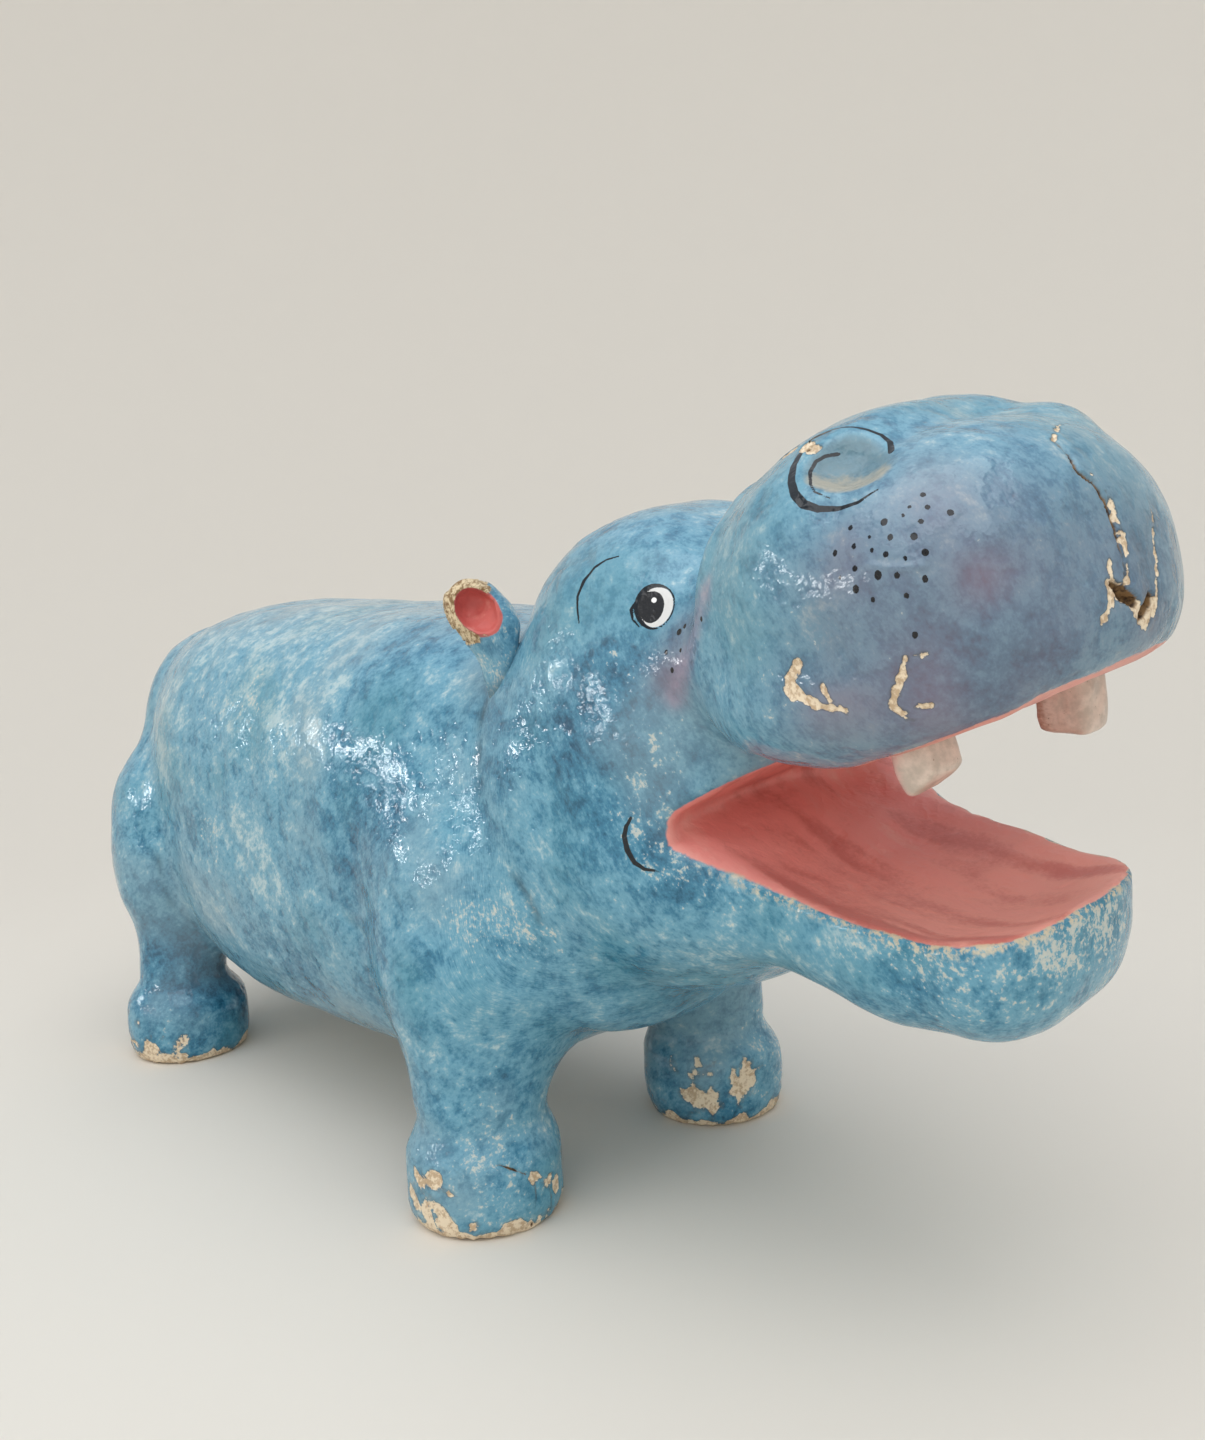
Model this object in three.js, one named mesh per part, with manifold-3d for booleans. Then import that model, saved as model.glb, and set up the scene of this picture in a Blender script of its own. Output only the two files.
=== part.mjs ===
// A papier-mache hippopotamus standing four-square with its mouth wide open.
// The whole animal is one moulding: paper laid over a rough core, smoothed and painted as one skin.
// Millimetres. +X is the way it faces, +Y its left side, +Z up, and the floor is z = 0 under its middle.

import * as THREE from "three";
import { mergeVertices } from "three/addons/utils/BufferGeometryUtils.js";
import Module from "manifold-3d";

const wasm = await Module();
wasm.setup();

// ---- Driving dimensions -------------------------------------------------------------------------

// Trunk: sections across X as [x, top, bottom, half width], each a squared-off oval.
const TRUNK_SECTIONS = [
  [-324, 299, 90, 83],
  [-266, 312, 56, 105],
  [-176, 315, 42, 112.5],
  [-68, 314, 45, 112.5],
  [-4, 312, 50, 110.5],
  [50, 306, 70, 104],
  [94, 292, 94, 95],
];
const TRUNK_ENDS = [56, 54];
const TRUNK_SQUARENESS = 2.6;

// Legs: short columns on round club feet, leaning in a little towards the trunk.
const FOOT_RADIUS = 41.5;
const FOOT_HEIGHT = 38;
const LEG_TOP = 193;
const LEG_LEAN = 0.2;
const LEGS = [
  { x: 50, y: -88, ankle: 34, thigh: 45, sweep: -7 },
  { x: 50, y: 88, ankle: 31, thigh: 43, sweep: -7 },
  { x: -308, y: -85.5, ankle: 29.5, thigh: 43, sweep: -4 },
  { x: -308, y: 85.5, ankle: 29.5, thigh: 43, sweep: -4 },
];
const SHOULDER = { at: [41, 80, 150], radii: [52, 36, 82] };
const HAUNCH = { at: [-327, 76, 150], radii: [47, 38, 70] };

// Tail: a stub lying down the rump.
const TAIL = { root: [-372, 0, 236], tip: [-384, 0, 176], rootRadius: 10, tipRadius: 8 };

// Head: it is set on with a slight roll, its left side the higher.
const HEAD_ROLL = THREE.MathUtils.degToRad(5.5);
const HEAD_PIVOT_Z = 270;
const SKULL = { at: [147, 0, 284.5], radii: [83, 84.5, 83] };
const CHEEKS = { at: [139.5, 0, 225], radii: [94.5, 97, 85.5] };
const THROAT = { at: [139.5, 0, 185.5], radii: [81, 81, 57.5] };
const BRIDGE = { at: [220, 0, 304], radii: [56, 75.5, 52] };

// Upper jaw: a big blunt muzzle, with a fleshy lip along each side and across the front.
const MUZZLE_SECTIONS = [
  [236, 384, 270, 80],
  [262, 398, 260, 92],
  [288, 403, 260, 97],
  [309, 395, 263, 95],
];
const MUZZLE_ENDS = [25, 69];
const SIDE_LIP = { at: [286, 58, 293], radii: [60, 37, 26] };
const FRONT_LIP = { at: [320, 0, 313], radii: [61, 72, 34] };
const LIP_RISE = THREE.MathUtils.degToRad(9);
const NOSTRIL = { at: [304, 68, 399], radius: 22 };

// Lower jaw: a long scoop with a round chin, as sections like the trunk's.
const JAW_SECTIONS = [
  [157, 236, 173, 79],
  [211, 236, 166, 76],
  [247, 236, 153, 72],
  [283, 236, 140, 68],
  [314, 236, 139, 62],
];
const JAW_ENDS = [27, 39.5];

// Open mouth: heights of its two edges above the floor as [x, z], and the dished tongue bed.
const LOWER_LIP = [[175, 236], [207, 225], [238, 212], [283, 201.5], [319, 198], [355, 203], [427, 216]];
const UPPER_LIP = [[175, 230], [198, 239], [225, 253], [256, 260], [301, 268], [355, 290], [427, 324]];
const TONGUE_DEPTH = 14.5;
const TONGUE_HALF_WIDTH = 66.6;
const TONGUE_BACK = 166;
const TONGUE_FRONT = 356;
const MOUTH_BACK = 181;
const MOUTH_CORNER_SETBACK = 20;
const MOUTH_CLEAR = 118;
const MOUTH_FRONT = 412;

// Tusks: square pegs hanging from the upper lip. The half sizes run along X, Y and Z.
const TUSKS = [
  { x: 318, y: -57.5, tip: 256, half: [10.5, 11, 27], tilt: THREE.MathUtils.degToRad(-12) },
  { x: 319, y: 50.5, tip: 252, half: [13, 11, 27], tilt: THREE.MathUtils.degToRad(-2) },
];

// Ears: small thick cups on the neck, opening forwards and outwards.
const EAR_AT = [77, 80, 322];
const EAR_RADII = [11, 17, 23];
const EAR_CUP_RADII = [10.5, 11, 15.5];
const EAR_CUP_OFFSET = [8, 0, 1.5];
const EAR_TURN = THREE.MathUtils.degToRad(40);
const EAR_STEM_RADIUS = 9;

// Facet sizes: the grid the skin is laid on, finer over the head.
const BODY_FACET = 17.8;
const HEAD_FACET = 14.8;
const MOUTH_FACET = 17;
const TUSK_FACET = 7.5;
const EAR_FACET = 5.5;

// ---- Rounded forms, each a signed distance: below zero inside -------------------------------------

const clamp = (value, low, high) => Math.min(high, Math.max(low, value));

/** Joins two forms with a fillet of about the given radius. */
function blend(a, b, fillet) {
  const share = clamp(0.5 + (0.5 * (b - a)) / fillet, 0, 1);
  return b + (a - b) * share - fillet * share * (1 - share);
}

/** Keeps what lies inside both forms, with the edge between them rounded. */
const common = (a, b, rounding) => -blend(-a, -b, rounding);

/** Reads a table of rows [u, values...] at u with a smooth curve through the rows. */
function along(rows, u) {
  const last = rows.length - 1;
  const place = clamp(u, rows[0][0], rows[last][0]);
  let i = 0;
  while (i < last - 1 && rows[i + 1][0] < place) {
    i += 1;
  }
  const span = rows[i + 1][0] - rows[i][0];
  const t = (place - rows[i][0]) / span;
  const slope = (row, column) => {
    const rise = (k) => (rows[k + 1][column] - rows[k][column]) / (rows[k + 1][0] - rows[k][0]);
    if (row === 0 || row === last) {
      return rise(Math.min(row, last - 1));
    }
    const before = rise(row - 1);
    const after = rise(row);
    return before * after <= 0 ? 0 : (before + after) / 2;
  };
  return rows[i].slice(1).map((value, n) => {
    const next = rows[i + 1][n + 1];
    const start = value * (1 + 2 * t) * (1 - t) ** 2 + span * slope(i, n + 1) * t * (1 - t) ** 2;
    return start + next * t * t * (3 - 2 * t) + span * slope(i + 1, n + 1) * t * t * (t - 1);
  });
}

/** A body of squared-off oval sections along X, rounded over at both ends. */
function lofted(p, sections, ends, squareness) {
  const [top, bottom, halfWidth] = along(sections, p.x);
  const halfHeight = (top - bottom) / 2;
  const past = Math.max((sections[0][0] - p.x) / ends[0], (p.x - sections.at(-1)[0]) / ends[1], 0);
  const across = Math.abs(p.y / halfWidth) ** squareness;
  const upward = Math.abs((p.z - (top + bottom) / 2) / halfHeight) ** squareness;
  const reach = (across + upward + past ** squareness) ** (1 / squareness);
  return (reach - 1) * Math.min(halfWidth, halfHeight);
}

/** An ellipsoid, or a squared-off one above squareness 2, turned about its middle. */
function ovoid(p, { at, radii }, squareness = 2, turn = null) {
  const local = new THREE.Vector3(p.x - at[0], p.y - at[1], p.z - at[2]);
  if (turn) {
    local.applyQuaternion(turn);
  }
  const [u, v, w] = [local.x / radii[0], local.y / radii[1], local.z / radii[2]];
  if (squareness === 2) {
    const reach = Math.hypot(u, v, w);
    return (reach * (reach - 1)) / Math.max(Math.hypot(u / radii[0], v / radii[1], w / radii[2]), 1e-9);
  }
  const sum = Math.abs(u) ** squareness + Math.abs(v) ** squareness + Math.abs(w) ** squareness;
  return (sum ** (1 / squareness) - 1) * Math.min(...radii);
}

/** A round-ended bar from a to b, tapering from one radius to the other. */
function bar(p, a, b, radiusA, radiusB) {
  const start = new THREE.Vector3(...a);
  const line = new THREE.Vector3(...b).sub(start);
  const offset = p.clone().sub(start);
  const t = clamp(offset.dot(line) / line.lengthSq(), 0, 1);
  return offset.addScaledVector(line, -t).length() - (radiusA + (radiusB - radiusA) * t);
}

/** The turn that brings the part's axes onto a form pitched about Y and then swung about Z. */
function turned(pitch, swing = 0) {
  return new THREE.Quaternion().setFromEuler(new THREE.Euler(0, pitch, swing, "ZYX")).invert();
}

/** The same form set to the right (-1) or the left (+1) side. */
const sided = ({ at, radii }, side) => ({ at: [at[0], side * at[1], at[2]], radii });

/** A point of the part in the head's own upright frame. */
function inHead(p) {
  const y = p.y;
  const z = p.z - HEAD_PIVOT_Z;
  const cos = Math.cos(HEAD_ROLL);
  const sin = Math.sin(HEAD_ROLL);
  return new THREE.Vector3(p.x, cos * y + sin * z, cos * z - sin * y + HEAD_PIVOT_Z);
}

// ---- The animal -----------------------------------------------------------------------------------

const SIDES = [-1, 1];

/** One leg: a turned profile from the sole up, its middle leaning in towards the trunk. */
function leg(p, { x, y, ankle, thigh, sweep }) {
  const profile = [
    [-30, FOOT_RADIUS * 0.92],
    [0, FOOT_RADIUS * 0.92],
    [9, FOOT_RADIUS * 0.99],
    [22, FOOT_RADIUS],
    [FOOT_HEIGHT, FOOT_RADIUS * 0.9 + ankle * 0.1],
    [56, ankle],
    [86, ankle + 1],
    [135, thigh],
    [198, thigh - 5],
  ];
  const rise = clamp((p.z - 63) / 135, 0, 1);
  const away = Math.hypot(p.x - x - sweep * rise, p.y - y * (1 - LEG_LEAN * rise));
  return common(away - along(profile, p.z)[0], p.z - LEG_TOP, 27);
}

/** Skull, cheeks and throat, in the head's frame. */
function cranium(q) {
  const skull = ovoid(q, SKULL, 2.2);
  const cheeks = ovoid(q, CHEEKS, 2.3);
  return blend(blend(skull, cheeks, 36), ovoid(q, THROAT), 36);
}

/** The muzzle with its lips, in the head's frame. */
function muzzle(q) {
  const rise = turned(-LIP_RISE);
  let form = blend(lofted(q, MUZZLE_SECTIONS, MUZZLE_ENDS, 2.25), ovoid(q, BRIDGE), 18);
  for (const side of SIDES) {
    form = blend(form, ovoid(q, sided(SIDE_LIP, side), 2, rise), 20);
  }
  return blend(form, ovoid(q, FRONT_LIP, 2, rise), 20);
}

/** The space between the jaws as a wedge with a dished floor and a sloping back, closed clear of the head. */
function mouth(p) {
  const q = inHead(p);
  const bed = clamp(1 - (q.y / TONGUE_HALF_WIDTH) ** 2, 0, 1);
  const fromBack = clamp((q.x - TONGUE_BACK) / 72, 0, 1);
  const fromFront = Math.sqrt(clamp((TONGUE_FRONT - q.x) / 54, 0, 1));
  const floor = along(LOWER_LIP, q.x)[0] - TONGUE_DEPTH * bed * fromBack * fromFront;
  const wedge = common(floor - q.z, q.z - along(UPPER_LIP, q.x)[0], 4);
  const slope = 0.7 * clamp(q.z - LOWER_LIP[0][1], 0, 40);
  const back = MOUTH_BACK + MOUTH_CORNER_SETBACK * (q.y / 85.5) ** 2 + slope;
  return Math.max(common(wedge, back - q.x, 13), Math.abs(q.y) - MOUTH_CLEAR, q.x - MOUTH_FRONT);
}

/** Trunk, legs, tail stub and head with its mouth still filled. The feet run on below the floor. */
function body(p) {
  const q = inHead(p);
  let form = blend(lofted(p, TRUNK_SECTIONS, TRUNK_ENDS, TRUNK_SQUARENESS), cranium(q), 32);
  for (const side of SIDES) {
    form = blend(form, ovoid(p, sided(SHOULDER, side)), 24);
    form = blend(form, ovoid(p, sided(HAUNCH, side)), 20);
  }
  form = blend(form, muzzle(q), 16);
  form = blend(form, lofted(q, JAW_SECTIONS, JAW_ENDS, 2.6), 30);
  for (const shape of LEGS) {
    form = blend(form, leg(p, shape), shape.x > 0 ? 34 : 22);
  }
  form = blend(form, bar(p, TAIL.root, TAIL.tip, TAIL.rootRadius, TAIL.tipRadius), 12);
  return Math.max(form, -20 - p.z);
}

/** One tusk, in the part's frame. */
function tusk(p, { x, y, tip, half, tilt }) {
  return ovoid(inHead(p), { at: [x, y, tip + half[2]], radii: half }, 5, turned(tilt));
}

/** One ear with its stem, in the part's frame. */
function ear(p, side) {
  const swing = side * EAR_TURN;
  const frame = turned(-0.14, swing);
  const place = (offset) => {
    const moved = new THREE.Vector3(...offset).applyQuaternion(frame.clone().invert());
    return [EAR_AT[0] + moved.x, side * EAR_AT[1] + moved.y, EAR_AT[2] + moved.z];
  };
  const shell = ovoid(p, { at: place([0, 0, 0]), radii: EAR_RADII }, 2.2, frame);
  const cup = ovoid(p, { at: place(EAR_CUP_OFFSET), radii: EAR_CUP_RADII }, 2, frame);
  const root = [EAR_AT[0] + 4, side * (EAR_AT[1] - 8), EAR_AT[2] - 42];
  const stem = bar(p, place([-4, 0, -14]), root, EAR_STEM_RADIUS, EAR_STEM_RADIUS);
  return blend(common(shell, -cup, 2), stem, 10);
}

// ---- Skinning: the zero surface of a form as one closed mesh ---------------------------------------

/** Planes from low to high, spaced by the step for their place. */
function planes(low, high, step) {
  const list = [low];
  while (list.at(-1) < high) {
    list.push(list.at(-1) + step(list.at(-1)));
  }
  return list;
}

/** Walks a point onto the zero surface along the slope of the form, no further than the reach. */
function settle(form, point, reach) {
  const from = point.clone();
  const axes = ["x", "y", "z"];
  const h = 0.5;
  for (let round = 0; round < 4; round += 1) {
    const slope = new THREE.Vector3();
    for (const axis of axes) {
      const ahead = point.clone();
      const behind = point.clone();
      ahead[axis] += h;
      behind[axis] -= h;
      slope[axis] = (form(ahead) - form(behind)) / (2 * h);
    }
    point.addScaledVector(slope, -form(point) / Math.max(slope.lengthSq(), 0.05));
  }
  const moved = point.sub(from);
  return from.add(moved.clampLength(0, reach));
}

/** Lays one corner in each grid cell that the surface crosses and one facet across each crossed edge. */
function skin(form, xs, ys, zs) {
  const [nx, ny, nz] = [xs.length, ys.length, zs.length];
  const index = (i, j, k) => (i * ny + j) * nz + k;
  const value = new Float64Array(nx * ny * nz);
  const node = (i, j, k) => new THREE.Vector3(xs[i], ys[j], zs[k]);
  for (let i = 0; i < nx; i += 1) {
    for (let j = 0; j < ny; j += 1) {
      for (let k = 0; k < nz; k += 1) {
        value[index(i, j, k)] = form(node(i, j, k));
      }
    }
  }
  const steps = [[1, 0, 0], [0, 1, 0], [0, 0, 1]];
  const corners = [];
  const cornerOf = new Int32Array(nx * ny * nz).fill(-1);
  for (let i = 0; i < nx - 1; i += 1) {
    for (let j = 0; j < ny - 1; j += 1) {
      for (let k = 0; k < nz - 1; k += 1) {
        const middle = new THREE.Vector3();
        let crossings = 0;
        steps.forEach(([a, b, c], axis) => {
          for (let side = 0; side < 4; side += 1) {
            const shift = [side & 1, side >> 1];
            const start = [i, j, k];
            start[(axis + 1) % 3] += shift[0];
            start[(axis + 2) % 3] += shift[1];
            const end = [start[0] + a, start[1] + b, start[2] + c];
            const [v0, v1] = [value[index(...start)], value[index(...end)]];
            if (v0 < 0 !== v1 < 0) {
              middle.add(node(...start).lerp(node(...end), v0 / (v0 - v1)));
              crossings += 1;
            }
          }
        });
        if (crossings > 0) {
          cornerOf[index(i, j, k)] = corners.length;
          const size = Math.min(xs[i + 1] - xs[i], ys[j + 1] - ys[j], zs[k + 1] - zs[k]);
          corners.push(settle(form, middle.divideScalar(crossings), size * 0.45));
        }
      }
    }
  }
  const triangles = [];
  for (let i = 0; i < nx - 1; i += 1) {
    for (let j = 0; j < ny - 1; j += 1) {
      for (let k = 0; k < nz - 1; k += 1) {
        steps.forEach(([a, b, c], axis) => {
          const [v0, v1] = [value[index(i, j, k)], value[index(i + a, j + b, k + c)]];
          if (v0 < 0 === v1 < 0) {
            return;
          }
          const ring = [[-1, -1], [0, -1], [0, 0], [-1, 0]].map(([s, t]) => {
            const cell = [i, j, k];
            cell[(axis + 1) % 3] += s;
            cell[(axis + 2) % 3] += t;
            return cornerOf[index(...cell)];
          });
          if (v0 >= 0) {
            ring.reverse();
          }
          const [p, q, r, s] = ring;
          const short = corners[p].distanceTo(corners[r]) < corners[q].distanceTo(corners[s]);
          triangles.push(...(short ? [p, q, r, p, r, s] : [p, q, s, q, r, s]));
        });
      }
    }
  }
  const geometry = new THREE.BufferGeometry();
  geometry.setAttribute("position", new THREE.Float32BufferAttribute(corners.flatMap((c) => c.toArray()), 3));
  geometry.setIndex(triangles);
  return geometry;
}

// ---- Joining and cutting ----------------------------------------------------------------------------

/** A closed indexed geometry as a solid. */
function solid(geometry) {
  const vertProperties = new Float32Array(geometry.attributes.position.array);
  const triVerts = new Uint32Array(geometry.index.array);
  return new wasm.Manifold(new wasm.Mesh({ numProp: 3, vertProperties, triVerts }));
}

/** A box between two corners as a solid. */
function slab(low, high) {
  const size = high.map((value, n) => value - low[n]);
  const box = new THREE.BoxGeometry(...size).translate(...low.map((value, n) => value + size[n] / 2));
  return solid(merged(box));
}

/** The geometry with its shared corners merged, so that it is closed. */
function merged(geometry) {
  geometry.deleteAttribute("normal");
  geometry.deleteAttribute("uv");
  return mergeVertices(geometry);
}

/** The shallow dish of one nostril, sunk in the top of the muzzle. */
function nostril(side) {
  const [x, y, z] = NOSTRIL.at;
  const centre = new THREE.Vector3(x, side * y, z - HEAD_PIVOT_Z);
  centre.applyAxisAngle(new THREE.Vector3(1, 0, 0), HEAD_ROLL);
  const ball = new THREE.SphereGeometry(NOSTRIL.radius, 20, 14);
  ball.translate(centre.x, centre.y, centre.z + HEAD_PIVOT_Z);
  return solid(merged(ball));
}

/** The whole animal as one solid. */
function hippo() {
  const length = planes(-406, 400, (x) => (x < 120 ? BODY_FACET : HEAD_FACET));
  const width = planes(-148, 148, () => BODY_FACET * 0.9);
  const height = planes(-50, 420, () => BODY_FACET * 0.9);
  let whole = solid(skin(body, length, width, height));
  const even = (low, high, facet) => planes(low, high, () => facet);
  const gape = [even(150, 430, MOUTH_FACET), even(-136, 136, MOUTH_FACET), even(170, 345, MOUTH_FACET)];
  whole = whole.subtract(solid(skin(mouth, ...gape)));
  for (const shape of TUSKS) {
    const { x, y, tip } = shape;
    const around = [
      even(x - 30, x + 30, TUSK_FACET),
      even(y - 30, y + 30, TUSK_FACET),
      even(tip - 30, tip + 80, TUSK_FACET),
    ];
    whole = whole.add(solid(skin((p) => tusk(p, shape), ...around)));
  }
  for (const side of SIDES) {
    const [x, y, z] = [EAR_AT[0], side * EAR_AT[1], EAR_AT[2]];
    const around = [
      even(x - 40, x + 40, EAR_FACET),
      even(y - 40, y + 40, EAR_FACET),
      even(z - 70, z + 40, EAR_FACET),
    ];
    whole = whole.add(solid(skin((p) => ear(p, side), ...around)));
    whole = whole.subtract(nostril(side));
  }
  return whole.subtract(slab([-450, -200, -60], [450, 200, 0]));
}

/** A named mesh of a solid in its material. */
function meshOf(name, form, material) {
  const { vertProperties, triVerts } = form.getMesh();
  const geometry = new THREE.BufferGeometry();
  geometry.setAttribute("position", new THREE.BufferAttribute(new Float32Array(vertProperties), 3));
  geometry.setIndex(new THREE.BufferAttribute(new Uint32Array(triVerts), 1));
  geometry.computeVertexNormals();
  const mesh = new THREE.Mesh(geometry, material);
  mesh.name = name;
  return mesh;
}

const paintedPaper = new THREE.MeshStandardMaterial({ color: 0x6fa9c6, roughness: 0.35, metalness: 0 });

const animal = new THREE.Group();
animal.add(meshOf("hippo", hippo(), paintedPaper));

// The origin is under the middle of the whole length, from nose to rump.
animal.position.x = -new THREE.Box3().setFromObject(animal).getCenter(new THREE.Vector3()).x;

export default animal;
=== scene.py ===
import bmesh
import bpy
import numpy as np
from mathutils import Matrix, Vector


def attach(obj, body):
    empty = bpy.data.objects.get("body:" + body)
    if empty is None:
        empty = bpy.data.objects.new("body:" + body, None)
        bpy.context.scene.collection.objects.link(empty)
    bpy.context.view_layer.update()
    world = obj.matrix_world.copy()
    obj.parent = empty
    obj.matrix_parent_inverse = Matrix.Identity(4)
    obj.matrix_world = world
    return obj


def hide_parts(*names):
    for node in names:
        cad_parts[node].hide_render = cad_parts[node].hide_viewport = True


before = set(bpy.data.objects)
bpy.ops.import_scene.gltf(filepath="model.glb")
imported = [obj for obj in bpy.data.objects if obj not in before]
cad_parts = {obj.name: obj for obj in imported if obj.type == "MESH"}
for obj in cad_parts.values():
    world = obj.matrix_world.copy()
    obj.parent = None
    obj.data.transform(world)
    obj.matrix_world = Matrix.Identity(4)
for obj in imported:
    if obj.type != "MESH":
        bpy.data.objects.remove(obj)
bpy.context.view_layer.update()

# The skin: trunk, legs, head and both jaws, one hollow shell of torn newspaper strips pasted over a
# former, rubbed down, sponged in blues and varnished. It is shaped here in millimetres, with rounded
# volumes that run into each other as wet paper does; the animal looks along +X. AHEAD centres it.
AHEAD = 3.485
# A section is a place along X, the top, the bottom and the half width there. A leg is its foot's
# place, the radii of ankle and thigh, how far it sweeps forwards, and its fillet into the trunk.
TRUNK_SECTIONS = [
    (-324, 299, 90, 83), (-266, 312, 56, 105), (-176, 315, 42, 112.5), (-68, 314, 45, 112.5),
    (-4, 312, 50, 110.5), (50, 306, 70, 104), (94, 292, 94, 95),
]
TRUNK_ENDS = (56, 54)
LEGS = [
    ((50, -88), 34, 45, -7, 34), ((50, 88), 31, 43, -7, 34),
    ((-308, -85.5), 29.5, 43, -4, 22), ((-308, 85.5), 29.5, 43, -4, 22),
]
FOOT_RADIUS, FOOT_HEIGHT, LEG_LEAN, LEG_TOP, LEG_TOP_ROUNDING = 41.5, 38, 0.2, 193, 27
SWEEP_FROM, SWEEP_OVER = 63, 135
SHOULDER, SHOULDER_RADII = (41, 80, 150), (52, 36, 82)
HAUNCH, HAUNCH_RADII = (-327, 76, 150), (47, 38, 70)
TAIL_ROOT, TAIL_TIP, TAIL_ROOT_RADIUS, TAIL_TIP_RADIUS = (-372, 0, 236), (-384, 0, 176), 10, 8
HEAD_ROLL, HEAD_PIVOT = 5.5, (0, 0, 270)
SKULL, SKULL_RADII = (147, 0, 284.5), (83, 84.5, 83)
CHEEKS, CHEEKS_RADII = (139.5, 0, 225), (94.5, 97, 85.5)
THROAT, THROAT_RADII = (139.5, 0, 185.5), (81, 81, 57.5)
BRIDGE, BRIDGE_RADII = (220, 0, 303), (56, 75.5, 45)
MUZZLE_SECTIONS = [(236, 384, 270, 80), (262, 398, 260, 92), (288, 403, 260, 97), (309, 395, 263, 95)]
MUZZLE_ENDS = (25, 69)
SIDE_LIP, SIDE_LIP_RADII = (286, 58, 293), (60, 37, 26)
FRONT_LIP, FRONT_LIP_RADII, LIP_RISE = (320, 0, 313), (61, 72, 34), 9
BROW_SLOPE_AT, BROW_SLOPE = (150, 0, 368.5), (0.32, 0, 0.947)
RIM_BACK, RIM_FRONT, RIM_RADIUS = (272, 40, 384), (318, 47, 379), 12
NOSTRIL, NOSTRIL_RADIUS, LEFT_NOSTRIL_RADIUS = (304, 68, 399), 22, 15
NOSTRIL_BOTTOM = (0.25, 0.5, -0.83)
JAW_SECTIONS = [
    (157, 236, 173, 79), (211, 236, 166, 76), (247, 236, 153, 72), (283, 236, 140, 68),
    (314, 236, 139, 62),
]
JAW_ENDS = (27, 39.5)
LOWER_LIP = [(175, 236), (207, 225), (238, 212), (283, 201.5), (319, 198), (355, 203), (427, 216)]
UPPER_LIP = [(175, 230), (198, 239), (225, 253), (256, 260), (301, 268), (355, 290), (427, 324)]
TONGUE_DEPTH, TONGUE_HALF_WIDTH, TONGUE_BACK, TONGUE_FRONT = 14.5, 66.6, 166, 356
MOUTH_BACK, RIGHT_CORNER_SETBACK, LEFT_CORNER_SETBACK = 181, 20, -6
LEFT_LIP_SAG = [(190, 14), (205, 12.5), (220, 9.5), (245, 5.5), (292, 0)]
SAG_FROM, SAG_OVER, CORNER_AT, PALATE_ROUNDING = 8, 45, 85.5, 4
TONGUE_BACK_SLOPE, TONGUE_FRONT_SLOPE = 72, 54
THROAT_SLOPE, THROAT_SLOPE_FROM, THROAT_SLOPE_RISE = 0.7, 236, 40
RIGHT_CORNER_ROUNDING, LEFT_CORNER_ROUNDING, CORNERS_APART = 6, 13, 60
SIDES = (-1, 1)
# How square each form is across, 2 being an ellipse, and how wide the wet paper fills where two meet.
SQUARENESS = {"trunk": 2.6, "skull": 2.2, "cheeks": 2.3, "muzzle": 2.25, "jaw": 2.6}
FILLETS = {
    "cheeks": 36, "brow": 8, "throat": 36, "neck": 32, "shoulder": 24, "haunch": 20, "bridge": 18,
    "lip": 20, "rim": 22, "muzzle": 16, "jaw": 30, "mouth": 5, "nostril": 4, "tail": 12,
}


def blend(a, b, fillet):
    """The nearer of two surfaces, with the hollow between them filled by a fillet."""
    share = np.clip(0.5 + 0.5 * (b - a) / fillet, 0, 1)
    return b + (a - b) * share - fillet * share * (1 - share)


def common(a, b, rounding):
    """What two volumes share: the farther surface, with its edge rounded."""
    return -blend(-a, -b, rounding)


def along(u, rows):
    """Smooth reading of rows (place, values...): a cubic between rows, level where a value turns back."""
    rows = np.array(rows, float)
    places, values = rows[:, 0], rows[:, 1:]
    rises = np.diff(values, axis=0) / np.diff(places)[:, None]
    slopes = np.concatenate([rises[:1], (rises[:-1] + rises[1:]) / 2, rises[-1:]])
    slopes[1:-1][rises[:-1] * rises[1:] <= 0] = 0
    u = np.clip(u, places[0], places[-1])
    i = np.clip(np.searchsorted(places, u) - 1, 0, len(places) - 2)
    span = (places[i + 1] - places[i])[:, None]
    t = (u - places[i])[:, None] / span
    start = values[i] * (1 + 2 * t) * (1 - t) ** 2 + span * slopes[i] * t * (1 - t) ** 2
    end = values[i + 1] * t * t * (3 - 2 * t) + span * slopes[i + 1] * t * t * (t - 1)
    return start + end


def lofted(p, sections, ends, squareness):
    """A body drawn through squared-off oval sections along X, with a domed cap at each end: the n-th
    root of across^n + up^n + past the end^n, each in units of its half size, is 1 on the surface."""
    top, bottom, half_width = along(p[:, 0], sections).T
    half_height = (top - bottom) / 2
    before, after = (sections[0][0] - p[:, 0]) / ends[0], (p[:, 0] - sections[-1][0]) / ends[1]
    past = np.maximum(np.maximum(before, after), 0)
    across = np.abs(p[:, 1] / half_width) ** squareness
    upward = np.abs((p[:, 2] - (top + bottom) / 2) / half_height) ** squareness
    far = (across + upward + past ** squareness) ** (1 / squareness)
    return (far - 1) * np.minimum(half_width, half_height)


def ovoid(p, at, radii, squareness=2.0, turn=None):
    """A rounded lump: distance to an ellipsoid, or to one with its sides squared off, where the n-th
    root of the summed n-th powers of each place over its radius is 1 on the surface."""
    local = p - np.array(at, float)
    local = local if turn is None else local @ turn
    radii = np.array(radii, float)
    if squareness == 2.0:
        far = np.linalg.norm(local / radii, axis=1)
        return far * (far - 1) / np.maximum(np.linalg.norm(local / radii ** 2, axis=1), 1e-9)
    far = (np.abs(local / radii) ** squareness).sum(1) ** (1 / squareness)
    return (far - 1) * radii.min()


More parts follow.
